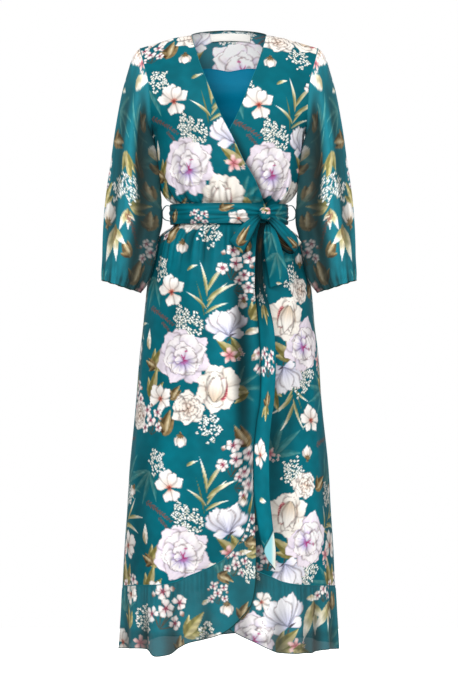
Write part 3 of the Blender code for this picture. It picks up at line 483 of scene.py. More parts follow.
# a wide bloom of three rings of frayed petals, lilac to white, and a few cupped ones that half
# hide a magenta heart below its middle
def paintLilacPeony(picture, seed):
    tip, pale, lilac, violet = "f6f0f1", "ece1eb", "cbbcdc", "a797cd"
    layRing(picture, (0, 0), 7, 10, 1.02, 0.44, 1.6, (violet, pale), seed, 0.2, 0.08)
    layRing(picture, (0.03, 0.1), 6, 40, 0.8, 0.4, 1.6, (lilac, tip), seed + 20, 0.24, 0.08)
    layRing(picture, (0.05, -0.08), 5, 100, 0.62, 0.3, 1.7, (violet, tip), seed + 40, 0.26, 0.14)
    layGlow(picture, (-0.02, -0.06), (0.26, 0.18), "ad80c4", 0.8)
    layGlow(picture, (0.08, -0.12), (0.14, 0.12), "bb4f8c", 0.8)
    for turn, reach, width in ((-34, 0.58, 0.3), (22, 0.5, 0.26), (74, 0.34, 0.16)):
        layPetal(picture, (0.06, -0.14), turn, reach, width, 1.8, (lilac, tip), seed + turn, 0.3, 0.06)
    stamens = [
        (0.07, -0.13, -10, 0.26), (0.12, -0.12, 40, 0.3), (0.02, -0.14, -70, 0.24), (0.1, 0.2, -64, 0.16),
    ]
    for x, y, turn, reach in stamens:
        layStroke(picture, (x, y), turn, reach, 0.03, 0.05, "b02f70")
    for turn, reach in ((104, 0.6), (-112, 0.56), (134, 0.62), (-146, 0.6), (172, 0.5)):
        layStroke(picture, (0, -0.12), turn, reach, 0.016, 0.05, "857ab6", 0.5)


# outer petals, a crescent of coral stamens and one large oval cup of a petal beside it
def paintCreamPeony(picture, seed):
    outer, cup = ("dccbb6", "f5efe6"), ("dcc6ae", "f7f2ea")
    for petal, turn in enumerate((8, 62, 118, 166, 214, 262, 312)):
        reach = 0.96 + 0.07 * np.sin(petal * 2 + seed)
        layPetal(picture, (0, 0), turn, reach, 0.44, 2.0, outer, seed + petal, 0.2)
    layPetal(picture, (0.1, -0.1), 150, 0.72, 0.36, 1.8, outer, seed + 8, 0.3)
    layPetal(picture, (0.12, 0.0), 26, 0.76, 0.34, 1.8, outer, seed + 9, 0.3)
    place, size = picture["place"], picture["size"]
    out = np.hypot((place[:, 0] - 0.2) / 0.22, (place[:, 1] + 0.04) / 0.5)
    x, y = place[:, 0] * size, place[:, 1] * size
    grain = np.sin(1.3 * x + seed) * np.sin(1.5 * y + 2 * np.sin(x))
    tone = mix(shade("a93a4c"), shade("ecb0a4"), ease(grain, -0.1, 0.8)[:, None])
    lay(picture, tone, (1 - ease(out, 0.8, 1.05)) * 0.95)
    for turn, reach, width, left in ((-20, 1.1, 0.26, -0.12), (8, 1.12, 0.26, -0.14), (-6, 1.16, 0.3, -0.16)):
        layPetal(picture, (left, -0.58), turn, reach, width, 1.05, cup, seed + turn, 0.34, 0.07)
    layStroke(picture, (-0.46, -0.5), 4, 1.0, 0.016, -0.14, "b08e78", 0.6)


# a round bloom: rings of cream petals that close in on a heart above its middle
def paintRose(picture, seed):
    tones, warm = ("d6c3b2", "f5efe7"), ("dcb9a2", "f3ebe1")
    layRing(picture, (0, 0), 7, 20, 1.0, 0.42, 1.8, tones, seed, 0.26)
    layRing(picture, (0.0, 0.06), 5, 60, 0.78, 0.4, 2.0, tones, seed + 20, 0.28)
    layRing(picture, (0.02, 0.12), 5, 10, 0.56, 0.32, 1.9, warm, seed + 40, 0.3)
    layRing(picture, (0.02, 0.14), 3, 80, 0.36, 0.24, 1.8, warm, seed + 60, 0.34)
    layPetal(picture, (0.04, 0.0), 8, 0.32, 0.13, 1.5, warm, seed + 80, 0.36)
    for turn, reach in ((150, 0.6), (-150, 0.66), (100, 0.5), (-96, 0.56)):
        layStroke(picture, (0, -0.1), turn, reach, 0.018, 0.06, "a8735f", 0.5)


# a half-open bloom seen from the side, fanned from a dark hooked stem at the foot
def paintTulip(picture, seed):
    back, front = ("b9bad8", "e9e7f1"), ("c9c9e2", "f3f1f5")
    for petal, (turn, reach) in enumerate(((-46, 1.45), (44, 1.5), (-24, 1.65), (22, 1.6))):
        tones = back if petal < 2 else front
        layPetal(picture, (0.1, -0.68), turn, reach, 0.42, 1.9, tones, seed + petal, 0.3, 0.13)
    layPetal(picture, (0.1, -0.7), -4, 1.4, 0.46, 1.8, front, seed + 7, 0.3, 0.13)
    layPetal(picture, (0.12, -0.66), 84, 0.8, 0.26, 1.6, front, seed + 8, 0.2, 0.05)
    layPetal(picture, (0.08, -0.66), -88, 0.86, 0.28, 1.6, front, seed + 9, 0.2, 0.05)
    for turn, reach in ((-30, 0.5), (12, 0.4), (-64, 0.42), (50, 0.36)):
        layStroke(picture, (0.1, -0.66), turn, reach, 0.02, 0.04, "8f93bd", 0.5)
    layStroke(picture, (0.1, -0.72), -58, 0.42, 0.055, 0.12, "463c44", 0.95)
    layStroke(picture, (0.12, -0.74), 150, 0.3, 0.05, 0.06, "544a42", 0.95)


# five or six unequal white petals, parted towards their tips, round a small heart off the middle
def paintBlossom(picture, seed):
    white = ("dccabf", "faf7f2")
    petals = [
        (208, 0.84, 0.31), (150, 0.8, 0.31), (284, 0.94, 0.36), (70, 1.0, 0.38), (10, 1.1, 0.44),
        (328, 0.9, 0.32),
    ]
    for petal, (turn, reach, width) in enumerate(petals):
        spot = turn + 24 * (hashed(seed + petal, 1)[0] - 0.5)
        layPetal(picture, (-0.1, -0.14), spot, reach, width, 1.8, white, seed + petal, 0.26, 0.07)
    layGlow(picture, (-0.1, -0.13), (0.2, 0.17), "d08670", 0.8)
    for stamen in range(9):
        layStroke(picture, (-0.1, -0.13), 40 * stamen + 9, 0.22, 0.028, 0.02, "a83f35")
    layGlow(picture, (-0.1, -0.12), (0.06, 0.06), "6f2826", 1.0)


# a loose spray of small blossoms with crimson hearts along a brown twig, and buds between
def paintCherry(picture, seed):
    pink = ("e6c6c8", "fbf6f2")
    spots = [
        (-0.5, 0.6, 0.43), (0.52, 0.46, 0.4), (-0.08, -0.1, 0.44), (0.6, -0.58, 0.35), (-0.68, -0.64, 0.37),
    ]
    for x, y, _ in spots:
        turn = np.degrees(np.arctan2(x, y + 1.15))
        layStroke(picture, (0, -1.15), turn, np.hypot(x, y + 1.15), 0.032, 0.08, "5f4333", 0.9)
    for number, (x, y, far) in enumerate(spots):
        lean = 360 * hashed(seed + number, 1)[0]
        layRing(picture, (x, y), 5, lean, far, far * 0.42, 1.8, pink, seed + number, 0.22, 0.0)
        layGlow(picture, (x, y), (far * 0.2, far * 0.2), "b04a68", 0.9)
        for stamen in range(5):
            layStroke(picture, (x, y), lean + 72 * stamen + 20, far * 0.5, 0.032, 0.01, "8c1c3a")
    for bud, (x, y) in enumerate([(-0.95, 0.1), (0.96, -0.06), (0.06, 1.0)]):
        layPetal(picture, (x, y), 60 * bud, 0.32, 0.13, 1.0, ("7a4a3c", "f1e4de"), seed + bud, 0.1, 0.0)


# five narrow pink petals with long stamens, and a few tiny stars beside it
def paintStar(picture, seed):
    for petal in range(5):
        layPetal(picture, (0, 0), 72 * petal + 10 * np.sin(seed), 0.9, 0.24, 1.3, ("c8707c", "f3d2cc"),
                 seed + petal, 0.1)
    for stamen in range(5):
        layStroke(picture, (0, 0), 72 * stamen + 36, 0.5, 0.03, 0.02, "9c4450")
    for x, y in ((1.1, 0.6), (1.35, 0.15), (0.95, -0.35)):
        for petal in range(5):
            layPetal(picture, (x, y), 72 * petal, 0.26, 0.08, 1.1, ("d3948f", "f5e6de"), seed, 0.0, 0.0)


# a closed white bud hanging from a brown calyx
def paintBud(picture, seed):
    for petal, (turn, reach) in enumerate(((160, 1.35), (202, 1.3), (184, 1.5))):
        layPetal(picture, (0, 0.6), turn, reach, 0.5, 1.25, ("d8c8b8", "fbf8f2"), seed + petal, 0.26)
    calyx = ((112, 0.55), (150, 0.6), (184, 0.55), (218, 0.62), (250, 0.55), (14, 0.4), (-20, 0.36))
    for turn, reach in calyx:
        layLeaf(picture, (0, 0.62), turn, reach, 0.12, 0.08, ("54402a", "8a7450"), seed)


# a cloud of tiny four-lobed flowers, one to a cell of 6.6 mm, each a little off its middle:
# lobe = 2.8 (0.74 + 0.26 cos 4 turn)
def paintSpeckle(picture, seed):
    size = picture["size"]
    place = picture["place"] * size
    cell = 6.6
    for push in (0.0, 0.5):
        shifted = place / cell + push
        corner = np.floor(shifted)
        number = corner[:, 0] * 12.99 + corner[:, 1] * 78.23 + seed + 40 * push
        wild = np.modf(np.abs(np.sin(number)) * 437.58)[0]
        wilder = np.modf(wild * 91.7)[0]
        local = (shifted - corner - 0.5) * cell - np.stack([wild - 0.5, wilder - 0.5], -1) * 2.4
        far = np.hypot(*local.T)
        turn = np.arctan2(local[:, 1], local[:, 0]) + 6.28 * wild
        lobe = 2.8 * (0.74 + 0.26 * np.cos(4 * turn))
        middle = (corner + 0.5 - push) * cell / size
        bumps = 0.16 * np.sin(5 * np.arctan2(middle[:, 1], middle[:, 0]) + seed)
        inCloud = np.hypot(middle[:, 0] * 1.25, middle[:, 1]) + bumps < 0.95
        there = inCloud & (wilder > (0.5 if push else 0.2))
        lay(picture, "0d3f44", (1 - ease(far, 2.9, 3.9)) * there * 0.8)
        lay(picture, "fffdf6", (1 - ease(far - lobe, -0.3, 0.8)) * there)
        lay(picture, "9a8440", (1 - ease(far, 0.2, 1.0)) * there * 0.6)


# a bent stem with slender leaves to both sides of it, olive at the root and cream at the tips
def paintFan(picture, seed):
    tones = ("8f8c56", "c9c193", "f5f0e0")
    layStroke(picture, (-0.3, -1.05), 8, 1.3, 0.03, -0.12, "77743f", 0.9)
    leaves = [
        (-0.26, -0.95, -46, 0.9, 0.055, 0.3), (-0.22, -0.75, -24, 1.15, 0.06, 0.26),
        (-0.2, -0.5, -38, 1.2, 0.085, 0.36), (-0.22, -0.2, -20, 1.3, 0.075, 0.3),
        (-0.2, -0.35, 4, 1.35, 0.06, -0.22), (-0.22, -0.8, 34, 1.0, 0.055, -0.3),
    ]
    for leaf, (x, y, turn, reach, width, bend) in enumerate(leaves):
        swing = 9 * (hashed(seed + leaf, 1)[0] - 0.5)
        layLeaf(picture, (x, y), turn + swing, reach, width, bend, tones, seed + leaf, 1.0, 0.05)
    layLeaf(picture, (-0.95, 0.62), -48, 0.46, 0.06, 0.14, tones, seed, 1.0, 0.0)


# three broad veined leaves
def paintOlive(picture, seed):
    layLeaf(picture, (0.1, -0.8), -38, 1.25, 0.25, -0.12, ("6f6a3a", "b3a973"), seed)
    layLeaf(picture, (0.1, -0.8), 30, 1.2, 0.23, 0.15, ("857d4a", "c9bd8e"), seed + 1)
    layLeaf(picture, (0, -0.85), -4, 1.75, 0.28, 0.1, ("77703c", "bdb181"), seed + 2)


# curled brown leaves with pale turned edges
def paintBrown(picture, seed):
    layLeaf(picture, (0, -0.8), -30, 1.4, 0.3, -0.45, ("43351f", "8b744e"), seed)
    layLeaf(picture, (0.05, -0.75), 18, 1.5, 0.34, 0.42, ("57462b", "b39d74"), seed + 1)
    layLeaf(picture, (0.1, -0.6), 62, 0.9, 0.2, 0.1, ("4d3b26", "8b7650"), seed + 2)
    layLeaf(picture, (0.2, -0.5), 26, 0.9, 0.1, 0.3, ("c9b68e", "e3d6b4"), seed + 3, 0.8, 0.0)


# faint leaves, as if seen through the ground colour
def paintGhost(picture, seed):
    for leaf, (turn, reach) in enumerate(((-55, 1.3), (-22, 1.7), (10, 1.6), (48, 1.4))):
        layLeaf(picture, (0, -0.8), turn, reach, 0.16, 0.25, ("3a7474", "7b9f95"), seed + leaf, 0.55)


# a rust spray: a bent stem with short strokes off both sides
def paintSprig(picture, seed):
    layStroke(picture, (0, -1), 0, 2.0, 0.024, 0.35, "7c4640")
    for stroke in range(22):
        t = (stroke + 1) / 23
        turn = (46 if stroke % 2 else -40) + 12 * np.sin(stroke)
        tone = mix(shade("9a5148"), shade("6d4a48"), hashed(seed + stroke, 1)[0])
        layStroke(picture, (0.35 * t * t, -1 + 2 * t), turn, 0.26 - 0.12 * t, 0.045, 0.03, tone, 0.75)


# one white curved petal, fallen by itself
def paintPetal(picture, seed):
    layLeaf(picture, (0, -0.9), 0, 1.8, 0.36, 0.5, ("c3b58f", "f6f0e2", "fdfaf2"), seed, 1.0, 0.03)


# three long leaves that hang from a brown base and end in white tips
def paintLily(picture, seed):
    leaves = [(196, 1.5, 0.15), (168, 1.7, 0.2), (150, 1.5, -0.25), (214, 1.0, -0.2)]
    tones = ("a09866", "d3c9a2", "f7f2e6")
    for leaf, (turn, reach, bend) in enumerate(leaves):
        layLeaf(picture, (0, 0.8), turn, reach, 0.19, bend, tones, seed + leaf, 1.0, 0.05)
    layLeaf(picture, (0.05, 0.95), 182, 0.9, 0.15, 0.1, ("6f5d3a", "a8996c"), seed + 5, 0.95)


painters = {
    "lilacPeony": paintLilacPeony, "creamPeony": paintCreamPeony, "rose": paintRose, "tulip": paintTulip,
    "blossom": paintBlossom, "cherry": paintCherry, "star": paintStar, "bud": paintBud,
    "speckle": paintSpeckle, "fan": paintFan, "olive": paintOlive, "brown": paintBrown,
    "ghost": paintGhost, "sprig": paintSprig, "petal": paintPetal, "lily": paintLily,
}
ground = "02626f"  # the teal that the motifs lie on
# each design's own size and its motifs: painter, millimetres right and down, half size, turn
designs = {
    "yardage": {"wide": 480, "high": 380, "motifs": [
        ("ghost", 20, 130, 44, 200), ("ghost", 300, 30, 46, 20), ("ghost", 450, 95, 46, 40),
        ("ghost", 398, 330, 40, 250), ("ghost", 236, 300, 34, 60), ("sprig", 56, 168, 38, 110),
        ("sprig", 420, 36, 36, 70), ("sprig", 76, 200, 26, 130), ("fan", 168, 118, 54, 0),
        ("fan", 448, 196, 46, 50), ("fan", 322, 352, 50, 176), ("olive", 196, 240, 34, -60),
        ("olive", 214, 330, 30, -110), ("olive", 48, 252, 36, 30), ("olive", 34, 306, 38, 10),
        ("olive", 306, 244, 38, -60), ("olive", 290, 328, 36, 150), ("olive", 425, 300, 38, -20),
        ("olive", 250, 158, 30, 20), ("brown", 74, 0, 34, 20), ("brown", 222, 26, 32, -30),
        ("brown", 92, 322, 22, 40), ("brown", 400, 120, 28, 60), ("brown", 28, 268, 22, -60),
        ("speckle", 162, 10, 28, 0), ("speckle", 50, 78, 26, 0), ("speckle", 104, 176, 25, 0),
        ("speckle", 134, 190, 24, 0), ("speckle", 112, 214, 20, 0), ("speckle", 328, 98, 30, 0),
        ("speckle", 366, 284, 27, 0), ("speckle", 346, 310, 24, 0), ("speckle", 432, 146, 25, 0),
        ("speckle", 258, 128, 20, 0), ("blossom", 84, 122, 34, -10), ("blossom", 58, 330, 30, -30),
        ("blossom", 378, 374, 29, 0), ("blossom", 444, 248, 30, 70), ("tulip", 190, 190, 36, -12),
        ("tulip", 320, 292, 34, 160), ("petal", 246, 200, 20, 60), ("petal", 254, 246, 20, 40),
        ("petal", 18, 220, 22, -20), ("lilacPeony", 106, 254, 54, 0), ("lilacPeony", 364, 230, 50, 90),
        ("creamPeony", 178, 314, 46, 0), ("creamPeony", 314, 178, 45, 185), ("rose", 120, 354, 34, 0),
        ("rose", 354, 124, 28, 30), ("rose", 470, 368, 30, 60), ("star", 200, 250, 19, 0),
        ("star", 414, 262, 17, 90), ("star", 280, 60, 15, 40), ("cherry", 36, 374, 28, 0),
        ("cherry", 216, 68, 34, 20), ("cherry", 240, 120, 28, 80), ("cherry", 270, 258, 24, -10),
        ("cherry", 458, 330, 28, 60), ("bud", 104, 34, 17, 0), ("bud", 362, 62, 17, 180),
        ("bud", 456, 136, 14, 30), ("bud", 226, 150, 12, 20),
    ]},
    "sleeve": {"wide": 360, "high": 470, "motifs": [
        ("rose", 22, 8, 26, 20), ("star", 52, 4, 14, 0), ("petal", 70, 16, 26, 0), ("petal", 8, 60, 10, 60),
        ("petal", 26, 70, 10, 60), ("ghost", 52, 96, 34, 80), ("ghost", 96, 60, 34, 0),
        ("ghost", 120, 110, 40, 10), ("brown", 116, 40, 26, 10), ("brown", 40, 144, 28, 80),
        ("brown", 128, 196, 30, 0), ("olive", 110, 236, 30, 60), ("brown", 92, 330, 26, -30),
        ("brown", 108, 150, 30, -20), ("olive", 84, 172, 32, 160), ("blossom", 4, 186, 24, 0),
        ("cherry", 6, 214, 20, 0), ("speckle", 84, 214, 30, 0), ("speckle", 54, 222, 24, 20),
        ("olive", 20, 236, 28, 20), ("bud", 36, 272, 26, 190), ("lily", 84, 276, 26, 0),
        ("lily", 58, 326, 44, 0), ("sprig", 106, 290, 40, 140), ("star", 156, 400, 20, 30),
        ("brown", 124, 372, 34, 20), ("brown", 134, 264, 30, 0), ("petal", 140, 90, 26, -20),
        ("brown", 152, 130, 26, 40), ("ghost", 150, 200, 40, 0), ("cherry", 150, 330, 24, 0),
        ("blossom", 176, 392, 22, 0), ("ghost", 20, 396, 30, 0), ("speckle", 250, 60, 26, 0),
        ("rose", 330, 70, 28, 10), ("petal", 290, 46, 18, 40), ("brown", 206, 110, 26, 70),
        ("star", 268, 130, 18, 20), ("speckle", 330, 190, 24, 0), ("cherry", 250, 236, 24, 40),
        ("lily", 330, 300, 34, 10), ("olive", 206, 250, 30, -20), ("creamPeony", 280, 330, 34, 30),
        ("speckle", 220, 330, 24, 0), ("blossom", 340, 430, 26, 20), ("brown", 300, 120, 34, 40),
        ("blossom", 230, 180, 30, 0), ("olive", 290, 210, 36, 20), ("lily", 240, 280, 40, 10),
        ("fan", 310, 320, 44, 0), ("ghost", 210, 380, 40, 60), ("cherry", 330, 400, 26, 0),
        ("brown", 270, 400, 30, 0),
    ]},
    "ruffle": {"wide": 700, "high": 900, "motifs": [
        ("ghost", -10, 1030, 34, 20), ("cherry", 34, 966, 24, 70), ("brown", 14, 990, 20, 80),
        ("brown", 48, 996, 24, 100), ("olive", 46, 1010, 20, 60), ("petal", 28, 1012, 15, 60),
        ("cherry", 16, 1036, 22, 20), ("speckle", 44, 1052, 20, 0), ("brown", -6, 1062, 22, 120),
        ("ghost", -250, 1110, 40, 0), ("speckle", -178, 1148, 28, 0), ("blossom", -216, 1104, 24, 30),
        ("cherry", -122, 1122, 40, 20), ("olive", -70, 1150, 36, 30), ("brown", -96, 1190, 24, 10),
        ("star", -190, 1196, 18, 0), ("speckle", -44, 1168, 22, 0), ("petal", -44, 1106, 12, 40),
        ("bud", -4, 1120, 17, 0), ("brown", 28, 1124, 24, 30), ("lilacPeony", 46, 1176, 46, 20),
        ("creamPeony", -14, 1196, 34, 60), ("cherry", -20, 1090, 20, 0), ("tulip", 104, 1136, 40, -20),
        ("blossom", 66, 1110, 20, 60), ("olive", 112, 1182, 36, 40), ("star", 130, 1196, 18, 20),
        ("petal", 176, 1106, 17, 80), ("lily", 176, 1154, 44, 0), ("lily", 214, 1150, 38, 20),
        ("cherry", 208, 1092, 24, 10), ("brown", 244, 1120, 24, 0), ("olive", 150, 1206, 30, 100),
        ("ghost", 240, 1180, 40, 20), ("blossom", -252, 1200, 26, 0), ("olive", -230, 1150, 30, -20),
    ]},
    "sash": {"wide": 760, "high": 400, "motifs": [
        ("ghost", 120, 24, 30, 80), ("ghost", 300, 30, 34, 100), ("olive", 430, 16, 28, 60),
        ("brown", 560, 30, 24, 20), ("speckle", 350, 34, 20, 0), ("cherry", 628, 36, 20, 0),
        ("blossom", 704, 38, 22, 20), ("brown", 680, 10, 20, 70),
    ]},
    "tail": {"wide": 400, "high": 900, "motifs": [
        ("brown", 2, 54, 30, 10), ("ghost", 4, 110, 30, 0), ("speckle", -2, 160, 17, 0),
        ("olive", 6, 190, 20, 170), ("cherry", 0, 262, 20, 0), ("brown", 0, 316, 18, 10),
        ("olive", 4, 340, 18, 160), ("blossom", 0, 402, 21, 10), ("petal", 2, 468, 11, 80),
        ("ghost", -4, 560, 22, 20), ("ghost", 96, 44, 26, 215), ("ghost", 106, 84, 30, 190),
        ("petal", 102, 118, 12, 120), ("petal", 112, 120, 9, 10), ("brown", 204, 50, 26, 12),
        ("olive", 196, 90, 24, 170), ("ghost", 208, 110, 24, 200), ("speckle", 214, 130, 13, 0),
        ("speckle", 210, 150, 12, 0), ("brown", 300, 60, 22, 0), ("brown", 306, 100, 24, 170),
        ("brown", 300, 118, 22, 200), ("brown", 308, 134, 22, 10), ("petal", 318, 76, 24, 0),
        ("olive", 296, 140, 22, 10),
    ]},
}


# the print at places (millimetres right and down the cloth): its colour 0 to 1 and how much of
# it is inked. Each motif repeats every "wide" across and every "high" down, on a ground mottled
# in patches of about 37 and 9 mm.
def printOf(place, shift=(0.0, 0.0), design="yardage"):
    look = designs[design]
    repeat = np.array([look["wide"], look["high"]])
    where = place + np.array(shift)
    tone = shade(ground) * (1 + 0.05 * mottle(where / 37, 3) + 0.03 * mottle(where / 9, 8))[:, None]
    ink = np.zeros(len(place))
    for number, (kind, x, y, size, turn) in enumerate(look["motifs"]):
        apart = (where - (x, y) + repeat / 2) % repeat - repeat / 2
        near = np.flatnonzero((np.abs(apart) < 1.6 * size).all(axis=1))
        if not len(near):
            continue
        picture = {"size": size, "tone": tone[near], "cover": np.zeros(len(near))}
        picture["place"] = turnedPlace(apart[near] * (1, -1), -turn) / size
        painters[kind](picture, number + 1.0)
        tone[near] = picture["tone"]
        ink[near] = np.maximum(ink[near], picture["cover"])
    return np.clip(tone, 0, 1), ink


# sets a node's inputs; one that is given a socket is joined to it
def feed(tree, made, inputs):
    for name, value in inputs.items():
        if isinstance(value, bpy.types.NodeSocket):
            tree.links.new(value, made.inputs[name])
        else:
            made.inputs[name].default_value = value


# a new node with its settings and inputs
def node(tree, kind, settings=None, inputs=None):
    made = tree.nodes.new(kind)
    for name, value in (settings or {}).items():
        setattr(made, name, value)
    feed(tree, made, inputs or {})
    return made


# the result of a maths node on numbers or sockets
def maths(tree, operation, *given):
    return node(tree, "ShaderNodeMath", {"operation": operation}, dict(enumerate(given))).outputs[0]


# a vector or colour times a number
def scaled(tree, vector, number):
    return node(tree, "ShaderNodeVectorMath", {"operation": "SCALE"}, {0: vector, "Scale": number}).outputs[0]


# the crepe's grain: two noises stretched along warp and weft, as a height and as a shade
def makeGrain():
    group = bpy.data.node_groups.new("crepeGrain", "ShaderNodeTree")
    for name, kind in (("Place", "Vector"), ("Threads", "Float"), ("Contrast", "Float")):
        group.interface.new_socket(name, in_out="INPUT", socket_type="NodeSocket" + kind)
    for name in ("Height", "Shade"):
        group.interface.new_socket(name, in_out="OUTPUT", socket_type="NodeSocketFloat")
    given = node(group, "NodeGroupInput").outputs
    place = scaled(group, given["Place"], given["Threads"])
    noises = []
    for stretch in ((1.0, 0.22, 1.0), (0.22, 1.0, 1.0)):
        pulled = node(group, "ShaderNodeVectorMath", {"operation": "MULTIPLY"}, {0: place, 1: stretch})
        noise = node(group, "ShaderNodeTexNoise", None,
                     {"Vector": pulled.outputs[0], "Scale": 1.0, "Detail": 2.0, "Roughness": 0.6})
        noises.append(noise.outputs[0])
    height = maths(group, "ADD", *noises)
    shaded = maths(group, "MULTIPLY_ADD", maths(group, "SUBTRACT", height, 1.0), given["Contrast"], 1.0)
    node(group, "NodeGroupOutput", None, {"Height": height, "Shade": shaded})
    return group


grainGroup = makeGrain()


# the grain on a shader: a colour times its shade, and its height as a bump
def grained(tree, place, colour, look, bumpDistance):
    grain = node(tree, "ShaderNodeGroup", {"node_tree": grainGroup},
                 {"Place": place, "Threads": look["threads"], "Contrast": look["contrast"]}).outputs
    bump = node(tree, "ShaderNodeBump", None,
                {"Strength": look["bump"], "Distance": bumpDistance, "Height": grain["Height"]})
    return scaled(tree, colour, grain["Shade"]), bump.outputs[0], grain["Height"]


# printed cloths: threads to a metre, the grain's contrast and bump, roughness, and how much the
# cloth is washed towards a tone all over and on its reverse; a sheer one lets some light through
cloths = {
    "crepe": {"threads": 900.0, "contrast": 0.16, "bump": 0.35, "rough": 0.5, "wash": 0.0, "reverse": 0.05,
              "washTone": (0.7, 0.64, 0.68, 1)},
    "sheerCrepe": {"threads": 800.0, "contrast": 0.2, "bump": 0.3, "rough": 0.55, "wash": 0.035,
                   "reverse": 0.05, "washTone": (0.42, 0.62, 0.56, 1), "openCloth": 0.972,
                   "inkedCloth": 0.99},
    "crepeReverse": {"threads": 900.0, "contrast": 0.16, "bump": 0.35, "rough": 0.5, "wash": 0.62,
                     "reverse": 0.0, "washTone": (0.22, 0.62, 0.67, 1)},
}
roughSpread = 0.12  # how far the grain's height moves the roughness


# printed cloth: the print's colour with its painted light and shade, times the grain's shade, washed out on
# the reverse
def printedCloth(name, look):
    material = bpy.data.materials.new(name)
    material.use_nodes = True
    tree = material.node_tree
    shader = tree.nodes["Principled BSDF"]
    printed = node(tree, "ShaderNodeAttribute", {"attribute_name": "print"}).outputs
    place = node(tree, "ShaderNodeUVMap", {"uv_map": "cloth"}).outputs[0]
    shaded, bump, height = grained(tree, place, printed["Color"], look, 0.0004)
    behind = node(tree, "ShaderNodeNewGeometry").outputs["Backfacing"]
    washed = maths(tree, "MULTIPLY_ADD", behind, look["reverse"], look["wash"])
    colour = node(tree, "ShaderNodeMix", {"data_type": "RGBA"},
                  {"Factor": washed, "A": shaded, "B": look["washTone"]}).outputs["Result"]
    rough = maths(tree, "MULTIPLY_ADD", height, roughSpread, look["rough"] - roughSpread)
    feed(tree, shader, {"Base Color": colour, "Roughness": rough, "Normal": bump, "Sheen Weight": 0.02,
                        "Sheen Roughness": 0.45, "Specular IOR Level": 0.06})
    if "openCloth" in look:
        limits = {"Value": printed["Alpha"], "To Min": look["openCloth"], "To Max": look["inkedCloth"]}
        feed(tree, shader, {"Alpha": node(tree, "ShaderNodeMapRange", None, limits).outputs[0]})
    return material


# plain cloths and threads, whose grain lies on the cloth's places or on the object
plains = {
    "satin": {"tone": (0.0, 0.235, 0.41), "threads": 500.0, "rough": 0.4, "bump": 0.2, "contrast": 0.12},
    "labelSatin": {"tone": (0.97, 0.95, 0.9), "threads": 900.0, "rough": 0.4, "bump": 0.3, "contrast": 0.08},
    "hemThread": {"tone": (0.012, 0.06, 0.055), "threads": 1500.0, "rough": 0.6, "bump": 0.5, "contrast": 0.4,
                  "onObject": True},
    "edgeFold": {"tone": (0.012, 0.2, 0.24), "threads": 1500.0, "rough": 0.55, "bump": 0.5, "contrast": 0.3,
                 "onObject": True},
    "loopThread": {"tone": (0.006, 0.19, 0.22), "threads": 1500.0, "rough": 0.6, "bump": 0.8, "contrast": 0.4,
                   "onObject": True},
}


# plain cloth or thread: one tone, shaded by the grain
def plainCloth(name, look):
    material = bpy.data.materials.new(name)
    material.use_nodes = True
    tree = material.node_tree
    if "onObject" in look:
        place = node(tree, "ShaderNodeTexCoord").outputs["Object"]
    else:
        place = node(tree, "ShaderNodeUVMap", {"uv_map": "cloth"}).outputs[0]
    shaded, bump, _ = grained(tree, place, look["tone"], look, 0.0003)
    feed(tree, tree.nodes["Principled BSDF"],
         {"Base Color": shaded, "Normal": bump, "Roughness": look["rough"], "Specular IOR Level": 0.05})
    return material


materials = {name: printedCloth(name, look) for name, look in cloths.items()}
materials.update({name: plainCloth(name, look) for name, look in plains.items()})
print("materials made:", ", ".join(materials))


# a mesh from a grid of points in millimetres, rows down and columns across, with its cloth
# places as the UV map "cloth" in metres
def gridMesh(name, points, place, closed=False, turned=False):
    rows, columns = points.shape[:2]
    index = np.arange(rows * columns).reshape(rows, columns)
    spot = np.arange(place.shape[0] * place.shape[1]).reshape(place.shape[:2])
    if closed:
        index = np.hstack([index, index[:, :1]])
    corners = (index[:-1, :-1], index[1:, :-1], index[1:, 1:], index[:-1, 1:])
    spots = (spot[:-1, :-1], spot[1:, :-1], spot[1:, 1:], spot[:-1, 1:])
    order = (0, 3, 2, 1) if turned else (0, 1, 2, 3)
    faces = np.stack([corners[i] for i in order], -1).reshape(-1, 4)
    corner = np.stack([spots[i] for i in order], -1).reshape(-1)
    mesh = bpy.data.meshes.new(name)
    mesh.vertices.add(rows * columns)
    mesh.vertices.foreach_set("co", (points.reshape(-1, 3) * mm).ravel())
    mesh.loops.add(faces.size)
    mesh.loops.foreach_set("vertex_index", faces.ravel())
    mesh.polygons.add(len(faces))
    mesh.polygons.foreach_set("loop_start", np.arange(0, faces.size, 4))
    mesh.polygons.foreach_set("loop_total", np.full(len(faces), 4))
    mesh.update(calc_edges=True)
    layer = mesh.uv_layers.new(name="cloth")
    layer.data.foreach_set("uv", (place.reshape(-1, 2)[corner] * mm).ravel())
    mesh.shade_smooth()
    return mesh


# puts the print, darkened or lightened by a painted shading of light and shade, on the points of a
# mesh as the attribute "print": a display tone t becomes linear as t / 12.92 or ((t + 0.055) / 1.055)^2.4
def inkMesh(mesh, place, shift, design, shading):
    tone, ink = printOf(place.reshape(-1, 2), shift, design)
    tone = np.clip(tone * np.ravel(shading)[:, None] if np.ndim(shading) else tone, 0, 1)
    linear = np.where(tone <= 0.04045, tone / 12.92, ((tone + 0.055) / 1.055) ** 2.4)
    layer = mesh.color_attributes.new("print", "FLOAT_COLOR", "POINT")
    layer.data.foreach_set("color", np.concatenate([linear, ink[:, None]], axis=1).ravel())


# links a mesh as a piece of the dress that rides on the body and stands for its CAD node
def addPiece(name, mesh, nodes, materialNames):
    for materialName in materialNames:
        mesh.materials.append(materials[materialName])
    piece = bpy.data.objects.new(name, mesh)
    bpy.context.scene.collection.objects.link(piece)
    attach(piece, "root")
    if nodes:
        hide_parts(*nodes)
    return piece


# how much light a fold keeps: 1 + 0.075 of its depth down to 8 mm, and 1 + 0.04 of its height up
# to 3 mm
def foldShade(height):
    return 1 + 0.075 * np.clip(height, -8, 0) + 0.04 * np.clip(height, 0, 3)
